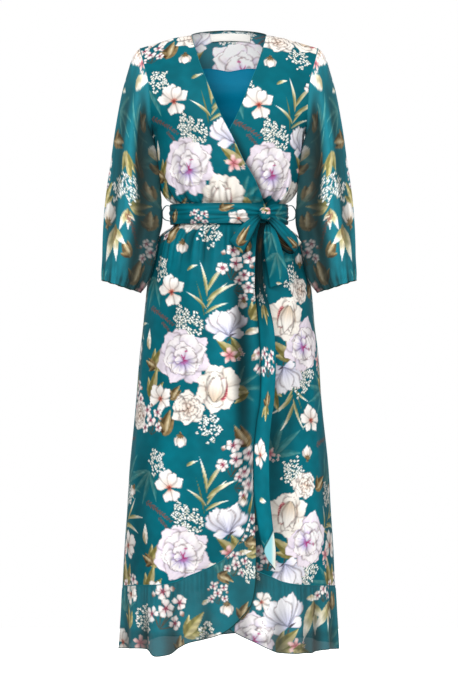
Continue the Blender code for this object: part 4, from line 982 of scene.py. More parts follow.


# a printed or plain piece of cloth from its points and places. Its faces are turned where the
# piece is a mirrored one.
def addCloth(name, points, place, make, shading=1.0):
    closed = make.get("closed", False)
    mesh = gridMesh(name, points, place, closed, make.get("turned", make.get("side", 1) < 0))
    if make.get("printed", True):
        own = place[:, :-1] if closed else place
        inkMesh(mesh, own, make.get("shift", (0, 0)), make.get("design", "yardage"), shading)
    piece = addPiece(name, mesh, [make["node"]], make["materials"])
    if "wall" in make:
        wall = piece.modifiers.new("wall", "SOLIDIFY")
        wall.thickness = make["wall"] * mm
        wall.offset = 0
        wall.material_offset = len(make["materials"]) - 1
        wall.material_offset_rim = 0
    return piece


# shares 0 to 1 that part a length into steps of the wanted size
def steps(length, size):
    return np.linspace(0, 1, int(round(length / (size * coarser))) + 1)


# shares across and down a cloth that is so many millimetres wide and long when laid flat
def clothGrid(make):
    return np.meshgrid(steps(make["across"], make["step"]), steps(make["down"], make["step"]))


# the lengths along a line of points from its start
def lengthAlong(line):
    return np.concatenate([[0], np.cumsum(np.linalg.norm(np.diff(line, axis=0), axis=1))])


# the values that part a line into even steps, and the lengths at which they lie
def evenly(line, values, size):
    length = lengthAlong(line)
    places = steps(length[-1], size) * length[-1]
    return np.interp(places, length, values), places


# the length along the form's round from a middle line to an angle: the mean of
# sqrt((side cos)^2 + (depth sin)^2) over the turn, times the turn
def arcAcross(angle, drop, middle=0.0):
    turn = np.radians(angle - middle)
    side = along(bodyForm, "drop", "side", drop)
    depth = along(bodyForm, "drop", "back" if middle else "front", drop)
    part = turn[..., None] * (np.arange(24) + 0.5) / 24
    speed = np.sqrt((side[..., None] * np.cos(part)) ** 2 + (depth[..., None] * np.sin(part)) ** 2)
    return speed.mean(axis=-1) * turn


# a round cord along a path: rings of the radius in the plane across the path
def cordMesh(name, path, radius, sides=6):
    course = np.gradient(path, axis=0)
    course = course / np.linalg.norm(course, axis=1, keepdims=True)
    first = np.cross(course, (0.31, 0.82, 0.47))
    first = first / np.linalg.norm(first, axis=1, keepdims=True)
    second = np.cross(course, first)
    turn = 2 * np.pi * np.arange(sides) / sides
    ring = np.cos(turn)[None, :, None] * first[:, None] + np.sin(turn)[None, :, None] * second[:, None]
    points = path[:, None] + radius * ring
    place = np.stack(np.meshgrid(np.arange(sides + 1) * radius, lengthAlong(points[:, 0])), -1)
    return gridMesh(name, points, place, closed=True)


# the cords along the edges, made last: their name, path, finish and radius
edgeCords = []
yokeSlope = 30.0  # how much more cloth than drop the shoulder's slope takes


# where cloth at an angle and drop lies on the print: the length round from the middle front (or
# middle back), and the drop, with more of it where the shoulder slopes
def printPlace(angle, drop, middle=0.0):
    down = drop - yokeSlope * (1 - np.clip(drop, 0, cut["yoke"]) / cut["yoke"]) ** 2
    return np.stack([arcAcross(angle, drop, middle), down + 0 * angle], -1)


# half the drop between skirt and ruffle, larger where their seam runs steeply
def ruffleParting(seamAngle):
    return cut["ruffleGap"] / 2 + cut["steepGap"] / 2 * (1 - ease(seamAngle, -9, 4))


# the cast shade's depth and width in mm, and the drops over which it begins, widens and ends
castShade = {"depth": 0.5, "width": 9, "open": (960, 1010), "start": (150, 240), "end": (1060, 1110)}


# the shade that a right front casts on the left one beside its edge: 1 - depth exp(-(apart /
# width)^2), twice as wide where the front stands open behind the tail
def coveredShade(angle, drop, side):
    if side > 0:
        return 1.0
    past = np.maximum(np.radians(angle - crossing(drop)) * along(bodyForm, "drop", "front", drop), 0)
    width = castShade["width"] * (1 + ease(drop, *castShade["open"]))
    lasting = ease(drop, *castShade["start"]) * (1 - ease(drop, *castShade["end"]))
    return 1 - castShade["depth"] * np.exp(-((past / width) ** 2)) * lasting


# what the printed crepe pieces share, then the sheer ones; a front's side is 1 for the right
# one, which lies on top. "shift" moves a piece over its design, "flat" is its cut in metres, and
# "fullness" how much cloth its gathers and folds take up.
printed = {"slot": "print", "materials": ["crepe"], "held": "hung"}
sheer = {"slot": "sheer_print", "materials": ["sheerCrepe"], "held": "gathered"}
onTop = {"side": 1, "lift": overLift}
underneath = {"side": -1, "lift": underLift}


# the bodice front: rows down from the shoulder, columns from the side to the crossing edge
def bodiceFront(name, make):
    tries = np.linspace(0, cut["waist"] - cut["seamGap"] / 2, 400)
    drops, _ = evenly(body(make["measuredAt"] + 0 * tries, tries), tries, make["step"])
    share, drop = np.meshgrid(steps(make["across"], make["step"]), drops)
    angle = make["side"] * bodiceAngle(share, drop)
    points = frontCloth(angle, drop, make["lift"])
    edgeCords.append((name + "Fold", points[:, -1], "edgeFold", 0.6))
    shading = foldShade(relief(angle, drop)) * coveredShade(angle, drop, make["side"])
    addCloth(name, points, printPlace(angle, drop), make, shading)


bodiceRight = dict(printed, **onTop, node="bodice_front_right", shift=(191, -12), flat=(0.33, 0.5),
                   across=245, step=1.8, measuredAt=-30.0)
bodiceLeft = dict(bodiceRight, **underneath, node="bodice_front_left", shift=(23, -22))
bodiceFront("clothBodiceRight", bodiceRight)
bodiceFront("clothBodiceLeft", bodiceLeft)

# the back of the bodice, from the neckline and shoulder seams to the waist; its columns stand
# closer together behind the neck
backBodice = dict(printed, node="back_bodice", shift=(131, 186), flat=(0.4, 0.5), across=380, step=2.5,
                  yokeRows=1 / 78, lowerRows=1 / 84, closer=0.62, clothWide=340, yokeCloth=130, litYoke=0.14)
lastRow = (cut["waist"] - cut["seamGap"] / 2 - cut["yoke"]) / cut["rowDrop"]
backRows = [steps(1, backBodice["yokeRows"]), 1 + steps(1, backBodice["lowerRows"])[1:] * lastRow]
even, row = np.meshgrid(2 * steps(backBodice["across"], backBodice["step"]) - 1, np.concatenate(backRows))
side = -even * mix(backBodice["closer"], 1, even**2)
points = backCloth(side, row)
down = np.where(row < 1, cut["yoke"] - backBodice["yokeCloth"] * (1 - row), dropOfRow(row))
place = np.stack([-side / 2 * backBodice["clothWide"], down], -1)
# painted light on the yoke: 14 % lighter down to half its rows, gone at the yoke level
addCloth("clothBackBodice", points, place, backBodice, 1 + backBodice["litYoke"] * (1 - ease(row, 0.5, 1)))
edgeCords.append(("clothBackNeckFold", points[0][np.abs(side[0]) <= 0.5], "hemThread", 0.7))

# the satin lining inside the back
backLining = {
    "node": "back_lining", "slot": "lining", "materials": ["satin"], "printed": False, "flat": (0.32, 0.36),
    "held": "hung", "across": 300, "down": 240, "step": 4, "reach": 0.9, "inside": 5.5, "bottom": 330.0,
}
liningTop = table("side row", [(0, 0.787), (0.23, 0.742), (0.5, 0.76), (0.75, 0.86), (0.9, 1.02)])
liningCreases = table("row lean height width", [
    (0.93, 0.05, 1.0, 0.035), (1.06, -0.04, 0.9, 0.05), (1.3, 0.08, 1.0, 0.06), (1.62, -0.06, 0.9, 0.07),
    (1.95, 0.05, 0.8, 0.06),
])
share, row = clothGrid(backLining)
side = mix(backLining["reach"], -backLining["reach"], share)
lastRow = 1 + (backLining["bottom"] - cut["yoke"]) / cut["rowDrop"]
row = mix(along(liningTop, "side", "row", np.abs(side)), lastRow, row)
crease = 0 * row
for level, lean, tall, wide in zip(*liningCreases.values()):
    crease -= tall * np.exp(-(((row - level - lean * side) / wide) ** 2))
points = backCloth(side, row, backLining["inside"], crease)
place = np.stack([share * backLining["across"], row * cut["rowDrop"]], -1)
addCloth("clothLining", points, place, backLining)
edgeCords.append(("clothLiningFold", points[0], "satin", 0.8))

# the bare woven label on the back neck, from side to side and from row to row of the back
neckLabel = {
    "node": "neck_label", "slot": "label", "materials": ["labelSatin"], "printed": False,
    "flat": (0.092, 0.024), "held": "laid", "across": 86, "down": 20, "step": 1.5, "wall": 0.7,
    "sides": (0.213, -0.178), "rows": (0.175, 0.36), "inside": 3.3,
}
share, row = clothGrid(neckLabel)
crease = 0.5 * np.sin(9 * share + 2 * row) * (1 - row)
points = backCloth(mix(*neckLabel["sides"], share), mix(*neckLabel["rows"], row), neckLabel["inside"], crease)
place = np.stack([share * neckLabel["across"], row * neckLabel["down"]], -1)
addCloth("clothNeckLabel", points, place, neckLabel)


# the skirt front: it leaves its straight edge for the curved seam of the ruffle on the way down
def skirtFront(name, make):
    share, row = clothGrid(make)
    start, end = make["rounded"]
    foot = angleAt(np.interp(make["foot"], skirtEdge["drop"], skirtEdge["past"]), make["foot"])
    seamAngle = mix(90.0, -foot, share)
    bottom = along(ruffleSeam, "angle", "drop", seamAngle) - ruffleParting(seamAngle)
    drop = mix(cut["waist"] + cut["seamGap"], bottom, row)
    straight = mix(-90.0, angleAt(along(skirtEdge, "drop", "past", drop), drop), share)
    angle = make["side"] * mix(straight, -seamAngle, ease(drop, start, end))
    points = frontCloth(angle, drop, make["lift"])
    edgeCords.append((name + "Fold", points[:, -1], "hemThread", 0.7))
    edgeCords.append((name + "Side", points[:, 0] + (0, cut["seamGap"] / 2, 0), "edgeFold", 0.8))
    shading = foldShade(relief(angle, drop)) * coveredShade(angle, drop, make["side"])
    addCloth(name, points, printPlace(angle, drop), make, shading)


skirtRight = dict(printed, **onTop, node="skirt_front_right", shift=(199, -6), flat=(0.42, 0.78),
                  fullness=1.1, across=302, down=742, step=1.8, rounded=(700, 895), foot=900)
skirtLeft = dict(skirtRight, **underneath, node="skirt_front_left")
skirtFront("clothSkirtRight", skirtRight)
skirtFront("clothSkirtLeft", skirtLeft)

skirtBack = dict(printed, node="skirt_back", shift=(60, 150), flat=(0.72, 0.79), fullness=1.1,
                 across=640, down=745, step=3)
share, row = clothGrid(skirtBack)
drop = mix(cut["waist"] + cut["seamGap"], cut["backSeamDrop"] - cut["ruffleGap"] / 2, row)
angle = mix(90.0, 270.0, share)
points = movedOut(body, angle, drop, relief(angle, drop))
points[..., 1] += cut["seamGap"] / 2
addCloth("clothSkirtBack", points, printPlace(angle, drop, 180.0), skirtBack, foldShade(relief(angle, drop)))


# gathers sewn into the ruffle's seam, a bit over 10 mm wide and gone 70 mm below it
def ruffleGathers(course, past):
    g = seamGathers
    fade = ease(past, g["start"], g["full"]) * (1 - ease(past, g["full"], g["end"]))
    return g["height"] * fade * gathers(course / g["wide"], g["count"], 4.0)


# the ruffle of a front: its seam follows the skirt's, evenly parted by length, and each point
# of the seam has its own point of the hem below it. It has painted shade along its seam, and a
# little where it hangs lower than the back.
def ruffleFront(name, make):
    tries = np.linspace(90.0, ruffleSeam["angle"][0], 600)
    seamLine = body(tries, along(ruffleSeam, "angle", "drop", tries))
    seamAngles, lengths = evenly(seamLine, tries, make["step"])
    seamAngle, row = np.meshgrid(seamAngles, steps(make["down"], make["step"]))
    seam = along(ruffleSeam, "angle", "drop", seamAngle) + ruffleParting(seamAngle)
    angle = -make["side"] * mix(seamAngle, along(make["hem"], "seamAngle", "angle", seamAngle), row)
    drop = mix(seam, along(make["hem"], "seamAngle", "drop", seamAngle), row)
    gathered = ruffleGathers(lengths + 0 * row, drop - seam)
    points = frontCloth(angle, drop, make["lift"], gathered)
    edgeCords.append((name + "Hem", points[-1], "hemThread", 0.8))
    edgeCords.append((name + "Seam", points[0], "edgeFold", 0.7))
    edgeCords.append((name + "Side", points[:, 0] + (0, cut["seamGap"] / 2, 0), "edgeFold", 0.8))
    bySeam = make["seamShade"] * np.exp(-(((drop - seam) / make["seamWidth"]) ** 2))
    shading = foldShade(relief(angle, drop) + gathered) * (1 - bySeam)
    shading = shading * coveredShade(angle, drop, make["side"])
    shading = shading * (1 - make["singleShade"] * ease(drop, *make["single"]))
    addCloth(name, points, printPlace(angle, drop), make, shading)


ruffleRight = dict(sheer, **onTop, node="ruffle_front_right", design="ruffle", hem=rightHem,
                   flat=(0.68, 0.16), fullness=1.25, down=140, step=1.9, single=(1166, 1180),
                   singleShade=0.16, seamShade=0.15, seamWidth=2.0)
ruffleLeft = dict(ruffleRight, **underneath, node="ruffle_front_left", hem=leftHem)
ruffleFront("clothRuffleRight", ruffleRight)
ruffleFront("clothRuffleLeft", ruffleLeft)

ruffleBack = dict(sheer, node="ruffle_back", shift=(260, 150), flat=(0.84, 0.15), fullness=1.25,
                  across=660, down=124, step=2.6, seamLength=470)
share, row = clothGrid(ruffleBack)
drop = mix(cut["backSeamDrop"] + cut["ruffleGap"] / 2, cut["backHemDrop"], row)
angle = mix(90.0, 270.0, share)
gathered = ruffleGathers(share * ruffleBack["seamLength"], drop - cut["backSeamDrop"])
points = movedOut(body, angle, drop, relief(angle, drop) + gathered)
points[..., 1] += cut["seamGap"] / 2
addCloth("clothRuffleBack", points, printPlace(angle, drop, 180.0), ruffleBack)
edgeCords.append(("clothRuffleBackHem", points[-1], "hemThread", 0.9))
edgeCords.append(("clothRuffleBackSeam", points[0] + (0, 0, cut["ruffleGap"] / 2), "edgeFold", 0.8))
print("skirt and ruffles made")

# rings of a sleeve: its outer and inner line, its half depth front to back and its middle
sleeveRings = table("outerX outerZ innerX innerZ halfDepth middleY", [
    (178.2, -23, 153, -194, 53, 0), (187, -31, 156.5, -202, 55, 0), (195, -47, 157, -213, 57, 1),
    (203.5, -75, 156.5, -226, 59, 2), (213, -110, 155.5, -241, 61, 3), (221, -152, 153.5, -259, 63, 3),
    (228.5, -197, 150, -284, 65, 2), (235, -247, 145, -313, 66, 0), (241, -292, 139, -342, 66, -5),
    (246.5, -345, 141.5, -374, 65, -11), (250, -398, 150.5, -410, 62, -17),
    (251.5, -438, 157, -446, 57, -21), (252.5, -468, 164, -484, 47, -22),
    (252, -487, 176.5, -511, 38.5, -21),
])
sleeveRows = np.arange(len(sleeveRings["outerX"]), dtype=float)
sleeveFolds = table("angle width height start end", [
    (52, 16, -3.5, 1.5, 12), (84, 14, 3.5, 2, 12.5), (118, 15, -5, 1, 12.5), (150, 14, 4, 2.5, 12.5),
    (205, 16, -3, 3, 12.5), (238, 15, 3.5, 2, 12.5), (272, 15, -4.5, 1.5, 12), (305, 15, 3.5, 2.5, 12.5),
    (340, 14, -3, 4, 12.5),
])
sleeveCreases = table("angle width height start end", [
    (15, 6, 1.6, 3.0, 12.6), (34, 5, -1.5, 5.5, 12.6), (62, 5, 1.6, 6.5, 12.8), (74, 4.5, -1.6, 3.5, 10.5),
    (97, 5, 1.7, 7.0, 12.8), (108, 5, -1.4, 0.8, 8.0), (131, 5, 1.6, 5.0, 12.7), (143, 4.5, -1.5, 7.5, 12.8),
    (163, 5, 1.5, 4.0, 12.0), (192, 6, -1.4, 5.0, 12.6), (222, 6, 1.6, 3.0, 12.0), (250, 6, -1.5, 5.5, 12.6),
    (262, 5, 1.6, 2.5, 9.0), (290, 6, -1.6, 6.0, 12.8), (318, 6, 1.5, 3.5, 12.4), (348, 5, -1.3, 5.0, 12.8),
])
# cloth that falls in towards the body, above and below the waist
sleeveFills = table("angle width height start end", [
    (172, 24, 5.2, 0.0, 2.8), (152, 12, 3.0, 1.4, 4.4), (150, 15, 14.2, 1.3, 9.5), (158, 18, 13.0, 8.0, 13.3),
])
# the gathers on the hem's elastic, then those at the sleeve's head
cuffGathers = {"start": 10.9, "full": 12.6, "flutes": 12, "fluteHeight": 1.6, "count": 31, "height": 1.5}
headGathers = {"full": 0.2, "end": 1.6, "count": 40, "height": 0.8}
headRows = 3.2  # how many rows the sleeve takes to leave the armhole seam
# the painted light and shade of a sleeve: how much lighter it is painted outside the arm, how much
# painted shade falls inside it and by which turns and rows, then how dark beside its seam, and how
# many times its folds are deepened for their shade
sleeveShade = {"outside": 1.18, "inside": 0.63, "round": (-0.2, 0.45), "rows": (0.2, 2), "seam": 0.4,
               "seamRows": (0, 0.12), "folds": 1.4, "cuffFolds": 1.2}


# the right armhole seam: shoulder point at 0 degrees, front at 90, underarm at 180
def armholeLoop(turn):
    drop = cut["underarm"] / 2 * (1 - np.cos(np.radians(turn)))
    front = body(-angleAt(along(armholeSeam, "drop", "front", drop), drop), drop)
    yokeRow = np.arccos(np.clip(1 - drop / cut["yoke"], -1, 1)) / (np.pi / 2)
    row = np.where(drop < cut["yoke"], yokeRow, 1 + (drop - cut["yoke"]) / cut["rowDrop"])
    return np.where((turn < 180)[..., None], front, backForm(-np.ones_like(row), row))


# a point of the sleeve's rings: x and z run from the inner to the outer line as
# (1 + cos turn) / 2, y = middle - depth sin turn
def ringPoint(turn, row):
    columns = {**sleeveRings, "row": sleeveRows}
    ring = {name: along(columns, "row", name, row) for name in sleeveRings}
    out = (1 + np.cos(np.radians(turn))) / 2
    x = -mix(ring["innerX"], ring["outerX"], out)
    z = mix(ring["innerZ"], ring["outerZ"], out)
    return np.stack([x, ring["middleY"] - ring["halfDepth"] * np.sin(np.radians(turn)), z], -1)


# the rings, drawn into the armhole seam over the first rows and parted from it
def sleeveForm(turn, row):
    turn = turn % 360
    loop = armholeLoop(turn)
    under = ease(-loop[..., 2], 120, cut["underarm"])
    loop = loop + np.stack([cut["sleeveOut"] * (0.2 * under - 1), 0 * under, cut["sleeveUp"] * under], -1)
    start = ringPoint(turn, 0 * row)
    return ringPoint(turn, row) + (loop - start) * (1 - ease(row, 0, headRows))[..., None]


# how far the sleeve's cloth stands out: folds and creases, flutes height sin(n turn) and gathers
# towards the hem, slack, and gathers at the top of its head
def sleeveRelief(turn, row):
    height = folds(sleeveFolds, turn, row) + folds(sleeveCreases, turn, row)
    g = cuffGathers
    cuff = ease(row, g["start"], g["full"])
    height += g["fluteHeight"] * np.sin(np.radians(turn) * g["flutes"]) * cuff
    height += g["height"] * cuff * gathers(turn, g["count"], 3.0) * (1 - 0.3 * ease(row, 12.5, 13))
    height += 0.8 * ease(row, 0, 1.5) * slack(np.radians(turn) * 4, row * 0.9, 2.0)
    g = headGathers
    crown = np.cos(np.radians(turn / 2)) ** 8 * (1 - ease(row, g["full"], g["end"])) * ease(row, 0, 0.1)
    return height + g["height"] * crown * gathers(turn, g["count"], 5.0), cuff


# a sleeve: columns run round from the inner line and back to it. It has painted shade inside the arm,
# in its folds and beside the armhole seam, and painted light outside the arm.
def makeSleeve(name, make):
    tries = np.linspace(0, sleeveRows[-1], 300)
    rows, lengths = evenly(sleeveForm(90 + 0 * tries, tries), tries, make["step"])
    turn, row = np.meshgrid(180 + 360 * steps(make["across"], make["step"]), rows)
    height, cuff = sleeveRelief(turn, row)
    filled = height + folds(sleeveFills, turn, row)
    points = movedOut(sleeveForm, turn, row, filled) * (make["side"], 1, 1)
    edgeCords.append((name + "Hem", points[-1], "hemThread", 0.8))
    edgeCords.append((name + "Seam", points[0], "edgeFold", 0.8))
    s = sleeveShade
    inwards = ease(-np.cos(np.radians(turn)), *s["round"]) * ease(row, *s["rows"])
    folded = foldShade((s["folds"] + s["cuffFolds"] * cuff) * height)
    shading = (s["outside"] - s["inside"] * inwards) * folded
    shading = shading * (1 - s["seam"] * (1 - ease(row, *s["seamRows"])))
    place = np.stack([turn - 360, lengths[:, None] + 0 * turn], -1)
    addCloth(name, points[:, :-1], place, make, shading[:, :-1])


sleeveRight = dict(sheer, node="sleeve_right", side=1, closed=True, design="sleeve", flat=(0.46, 0.52),
                   fullness=1.05, across=380, step=2.2)
sleeveLeft = dict(sleeveRight, node="sleeve_left", side=-1)
makeSleeve("clothSleeveRight", sleeveRight)
makeSleeve("clothSleeveLeft", sleeveLeft)
print("sleeves made")

# the sash round the waist, from the knot and back to it, with creases that run into the knot
sashBand = dict(printed, node="sash_belt", materials=["crepe", "crepeReverse"], design="sash", closed=True,
                wall=1.1, flat=(0.72, 0.075), held="gathered", fullness=1.35, columns=(690, 1.9),
                rows=(42, 1.4), top=331.5, bottom=371.5, sideways=117.2, front=101.0, back=93.5,
                knotAngle=36.0, arched=0.8, slack=0.5, drawnIn=0.34, drawnWithin=9,
                clothRound=1.9, clothDown=52)
sashCreases = table("level bend height width reach", [
    (0.16, 0.22, 1.5, 0.075, 70), (0.3, 0.12, -1.3, 0.06, 46), (0.4, 0.1, 1.4, 0.07, 120),
    (0.56, -0.02, -1.5, 0.06, 90), (0.68, -0.1, 1.5, 0.07, 60), (0.8, -0.2, -1.2, 0.06, 100),
    (0.9, -0.26, 1.1, 0.05, 40),
])
share, row = np.meshgrid(steps(*sashBand["columns"]), steps(*sashBand["rows"]))
turn = sashBand["knotAngle"] + 360 * share
fromKnot = np.abs(wrapped(turn - sashBand["knotAngle"]))
lift = sashBand["slack"] * slack(np.radians(turn) * 7, row * 5, 2.6)
lift += sashBand["arched"] * np.sin(np.pi * row)
for level, bend, tall, wide, reach in zip(*sashCreases.values()):
    line = level + bend * np.exp(-fromKnot / 30) + 0.05 * np.sin(turn / 17 + 9 * level)
    lasting = 0.35 + 0.65 * np.exp(-((fromKnot / reach) ** 2)) + 0.3 * np.sin(turn / 23 + 5 * level)
    lift += tall * lasting * np.exp(-(((row - line) / wide) ** 2))
narrow = sashBand["drawnIn"] * np.exp(-((fromKnot / sashBand["drawnWithin"]) ** 2))
level = mix(row, 0.5 + 0.1 * np.sin(turn / 40), narrow)
angle = np.radians(turn)
depth = np.where(np.cos(angle) > 0, sashBand["front"], sashBand["back"]) + lift
points = np.stack([
    (sashBand["sideways"] + lift) * np.sin(angle),
    -depth * np.cos(angle),
    -mix(sashBand["top"], sashBand["bottom"], level) - cut["waistDip"] * (1 + np.cos(angle)) / 2,
], -1)
place = np.stack([turn * sashBand["clothRound"], row * sashBand["clothDown"]], -1)
addCloth("clothSash", points[:, :-1], place, sashBand, foldShade(3.0 * lift - 2.0)[:, :-1])

# the bow and tails: strips of straight or cupped sections carried along a middle line
loopRightPath = table("x y z half turn swing cup", [
    (60, -101, -366, 6, 128, 0, 1), (51, -113, -375, 9, 130, 0, 3), (38, -124, -391, 14, 132, 4, 4),
    (25, -131, -410, 17, 134, 6, 4), (17, -131.5, -423, 18, 136, 8, 3),
    (13.5, -127.5, -427.5, 18, 137, 8, 0), (15.5, -123.5, -424, 18, 136, 8, -1),
    (24, -121, -409, 16, 134, 6, -1), (38, -114, -391, 12, 132, 4, -1), (51, -106, -375, 8, 130, 0, 0),
])
loopLeftPath = table("x y z half turn swing cup", [
    (79, -98, -371, 6, 48, -10, 1), (90, -105, -380, 9, 46, -20, 3), (106, -109, -396, 13, 42, -38, 4),
    (121, -106, -412, 15, 40, -48, 4), (131, -98, -423, 16, 40, -52, 2),
    (133.5, -91, -426.5, 16, 40, -52, 0), (126.5, -86, -428.5, 16, 40, -52, -2),
    (109.5, -85, -418.5, 15.5, 40, -46, -4), (93.5, -87, -401.5, 13, 42, -34, -3),
    (86, -90, -383, 8, 46, -18, -1),
])
tailShortPath = table("x y z half turn swing cup", [
    (75, -103, -383, 6, 6, 0, 2), (78, -111, -398, 13, 6, 4, 4), (83, -114, -424, 17, 8, 8, 4),
    (89, -115, -453, 19, 9, 12, 3), (95, -114, -482, 20.5, 10, 14, 2), (98, -113, -499, 21, 18, 14, 1),
])
tailLongPath = table("x y z half turn swing cup", [
    (66, -104, -379, 5, 0, 0, 2), (60, -117, -412, 6, 0, 4, 3), (57.5, -123, -450, 6.5, 2, 8, 4),
    (58, -126, -500, 8, 3, 10, 4), (66, -128, -545, 13, 4, 12, 4), (73, -127, -600, 15.5, 3, 14, 5),
    (75.5, -128, -660, 15, 0, 14, 5), (73.5, -129, -720, 14, -3, 12, 4), (66, -135, -770, 14.5, -3, 10, 4),
    (61.5, -139, -830, 15.5, 0, 8, 4), (62, -144, -890, 15.5, 2, 8, 4), (67.5, -148, -946, 15, 2, 8, 3),
    (73, -152, -986, 14, 0, 8, 2), (77, -153, -1006, 12, 0, 8, 1), (82, -154, -1028, 7, 0, 8, 1),
    (88, -154, -1046, 0.8, 0, 8, 0),
])
stripCreases = table("side height width fade", [
    (-0.62, 1.5, 0.16, 0.5), (-0.28, -1.6, 0.13, 0.75), (0.06, 1.7, 0.15, 0.45), (0.34, -1.5, 0.13, 0.9),
    (0.66, 1.4, 0.15, 0.6),
])
# the pale reverse of the long tail's corner, right of a line given by its drop, and its rim
tailCorner = table("drop left", [
    (966, 88), (982, 80.5), (996, 73), (1006, 68.5), (1014, 67.5), (1024, 72), (1036, 82), (1046, 89),
])
paleReverse = np.array([0.3, 0.66, 0.72])
creamRim = np.array([0.8, 0.82, 0.72])
# the painted shade of a strip: how dark it is painted beside the knot, at its left edge and on the back
# layer of a loop, how far the first two reach in mm, and the drops and rows where its shade ends
stripShade = {"knot": 0.4, "knotReach": 16, "edge": 0.6, "edgeReach": 2.4, "upper": (110, 230),
              "behind": 0.5, "behindRows": (0.5, 0.58)}


# a grid moved along its own normals, taken from its slopes along rows and columns
def liftedGrid(points, height):
    normal = np.cross(np.gradient(points, axis=0), np.gradient(points, axis=1))
    normal = normal / (np.linalg.norm(normal, axis=-1, keepdims=True) + 1e-9)
    return points + normal * height[..., None]


# a strip's sections: x + side cos turn cos swing, z + side sin turn, and
# y - side cos turn sin swing - cup (1 - share^2)
def stripPoints(at, share):
    sideways = share * at["half"]
    turn, swing = np.radians(at["turn"]), np.radians(at["swing"])
    return np.stack([
        at["x"] + sideways * np.cos(turn) * np.cos(swing),
        at["y"] - sideways * np.cos(turn) * np.sin(swing) - at["cup"] * (1 - share**2),
        at["z"] + sideways * np.sin(turn),
    ], -1)


# a strip's creases, which fade out from the knot: height exp(-(row / fade)^2) exp(-(apart / width)^2)
def stripRelief(share, row, span, make):
    height = 0.6 * slack(share * 2.4, row * span / 26, make["seed"])
    for middle, tall, wide, fade in zip(*stripCreases.values()):
        near = np.exp(-((row / (fade * make["pinch"])) ** 2))
        if make["bothEnds"]:
            near = near + np.exp(-(((1 - row) / (fade * make["pinch"])) ** 2))
        apart = share - middle - 0.2 * np.sin(5 * row + make["seed"])
        height += tall * near * np.exp(-((apart / wide) ** 2))
    return height


# a strip of the sash, with painted shade in its creases, beside the knot, along its left edge, over its
# upper part and on the back layer of a loop, and 10 % painted light lower down. It hands back its
# points and the piece.
def makeStrip(name, path, make):
    knots = np.stack([path["x"], path["y"], path["z"]], -1)
    span = lengthAlong(knots)[-1]
    columns = {**path, "row": np.linspace(0, 1, len(path["x"]))}
    share, row = np.meshgrid(2 * steps(2 * path["half"].max() + 4, 1.3) - 1, steps(span, 1.7))
    at = {key: along(columns, "row", key, row) for key in path}
    height = stripRelief(share, row, span, make)
    points = liftedGrid(stripPoints(at, share), height * make["depth"])
    down = row * span
    s = stripShade
    shading = foldShade(2.0 * height) * (1 - s["knot"] * np.exp(-((down / s["knotReach"]) ** 2)))
    edge = s["edge"] * np.exp(-(((1 + share) * at["half"] / s["edgeReach"]) ** 2))
    shading = shading * (1 - edge * (1 - 0.4 * row))
    shading = shading * (1.1 - (0.1 + make["shaded"]) * (1 - ease(down, *s["upper"])))
    if make["bothEnds"]:
        shading = shading * (1 - s["behind"] * ease(row, *s["behindRows"]))
    return points, addCloth(name, points, np.stack([share * 24, down], -1), make, shading)


# lays the pale reverse over a corner that is turned over, with a shadow outside its fold
def paleCorner(piece, points, line):
    x, drop, top = points[..., 0], -points[..., 2], line["drop"][0]
    inwards = x - along(line, "drop", "left", drop)
    corner = ease(inwards, -0.6, 0.8) * ease(drop, top - 1, top + 2)
    shadow = 0.6 * np.exp(-(((inwards + 1.2) / 1.3) ** 2)) * ease(drop, top, top + 8)
    layer = piece.data.color_attributes["print"]
    colours = np.empty(corner.size * 4)
    layer.data.foreach_get("color", colours)
    colours = colours.reshape(-1, 4)
    colours[:, :3] *= 1 - shadow.reshape(-1, 1)
    reverse = mix(paleReverse, creamRim, ease(x, 80, 87).reshape(-1, 1))
    colours[:, :3] = mix(colours[:, :3], reverse, corner.reshape(-1, 1))
    layer.data.foreach_set("color", colours.ravel())


loopRight = dict(printed, node="bow_loop_right", shift=(204, 0), design="tail", wall=1.0,
                 flat=(0.05, 0.18), held="folded", fullness=1.3, turned=True, seed=1.0, pinch=0.35,
                 bothEnds=True, depth=0.6, shaded=0.0)
loopLeft = dict(loopRight, node="bow_loop_left", shift=(304, 0), seed=2.2, turned=False)
tailShort = dict(loopLeft, node="sash_tail_short", materials=["crepe", "crepeReverse"], shift=(100, 0),
                 flat=(0.052, 0.17), held="hung", seed=3.1, bothEnds=False, pinch=0.6)
tailLong = dict(tailShort, node="sash_tail_long", shift=(0, 0), flat=(0.052, 0.82), seed=4.4, pinch=0.25,
                shaded=0.74)
makeStrip("clothBowRight", loopRightPath, loopRight)
makeStrip("clothBowLeft", loopLeftPath, loopLeft)
makeStrip("clothTailShort", tailShortPath, tailShort)
points, piece = makeStrip("clothTailLong", tailLongPath, tailLong)
paleCorner(piece, points, tailCorner)

# the knot: the sash wound once round itself, with folds that run slantwise over it. It is an
# oval of out = |cos rise|^0.45, open at its two poles.
knot = dict(printed, node="bow_knot", materials=["crepe", "crepeReverse"], shift=(200, 240), wall=1.0,
            flat=(0.08, 0.052), held="folded", fullness=1.3, closed=True, turned=True, across=60,
            down=30, step=1.0, clothLength=40, middle=(70.0, -96.5, -360.0), half=(10.5, 6.8, 12.075),
            poles=(0.13, 0.87))
share, row = clothGrid(knot)
turn = 2 * np.pi * share
rise = np.pi * (0.5 - mix(*knot["poles"], row))
slant = 7.0 * (row + 0.22 * np.cos(turn))
out = np.abs(np.cos(rise)) ** 0.45 * (1 + 0.05 * np.sin(slant * 2.6) + 0.03 * np.sin(slant * 4.3 + 1.0))
oval = np.stack([out * np.cos(turn), -out * np.sin(turn), np.sin(rise)], -1)
points = np.array(knot["middle"]) + knot["half"] * oval
place = np.stack([share * knot["across"], row * knot["clothLength"]], -1)
addCloth("clothKnot", points[:, :-1], place, knot)
print("sash and bow made")

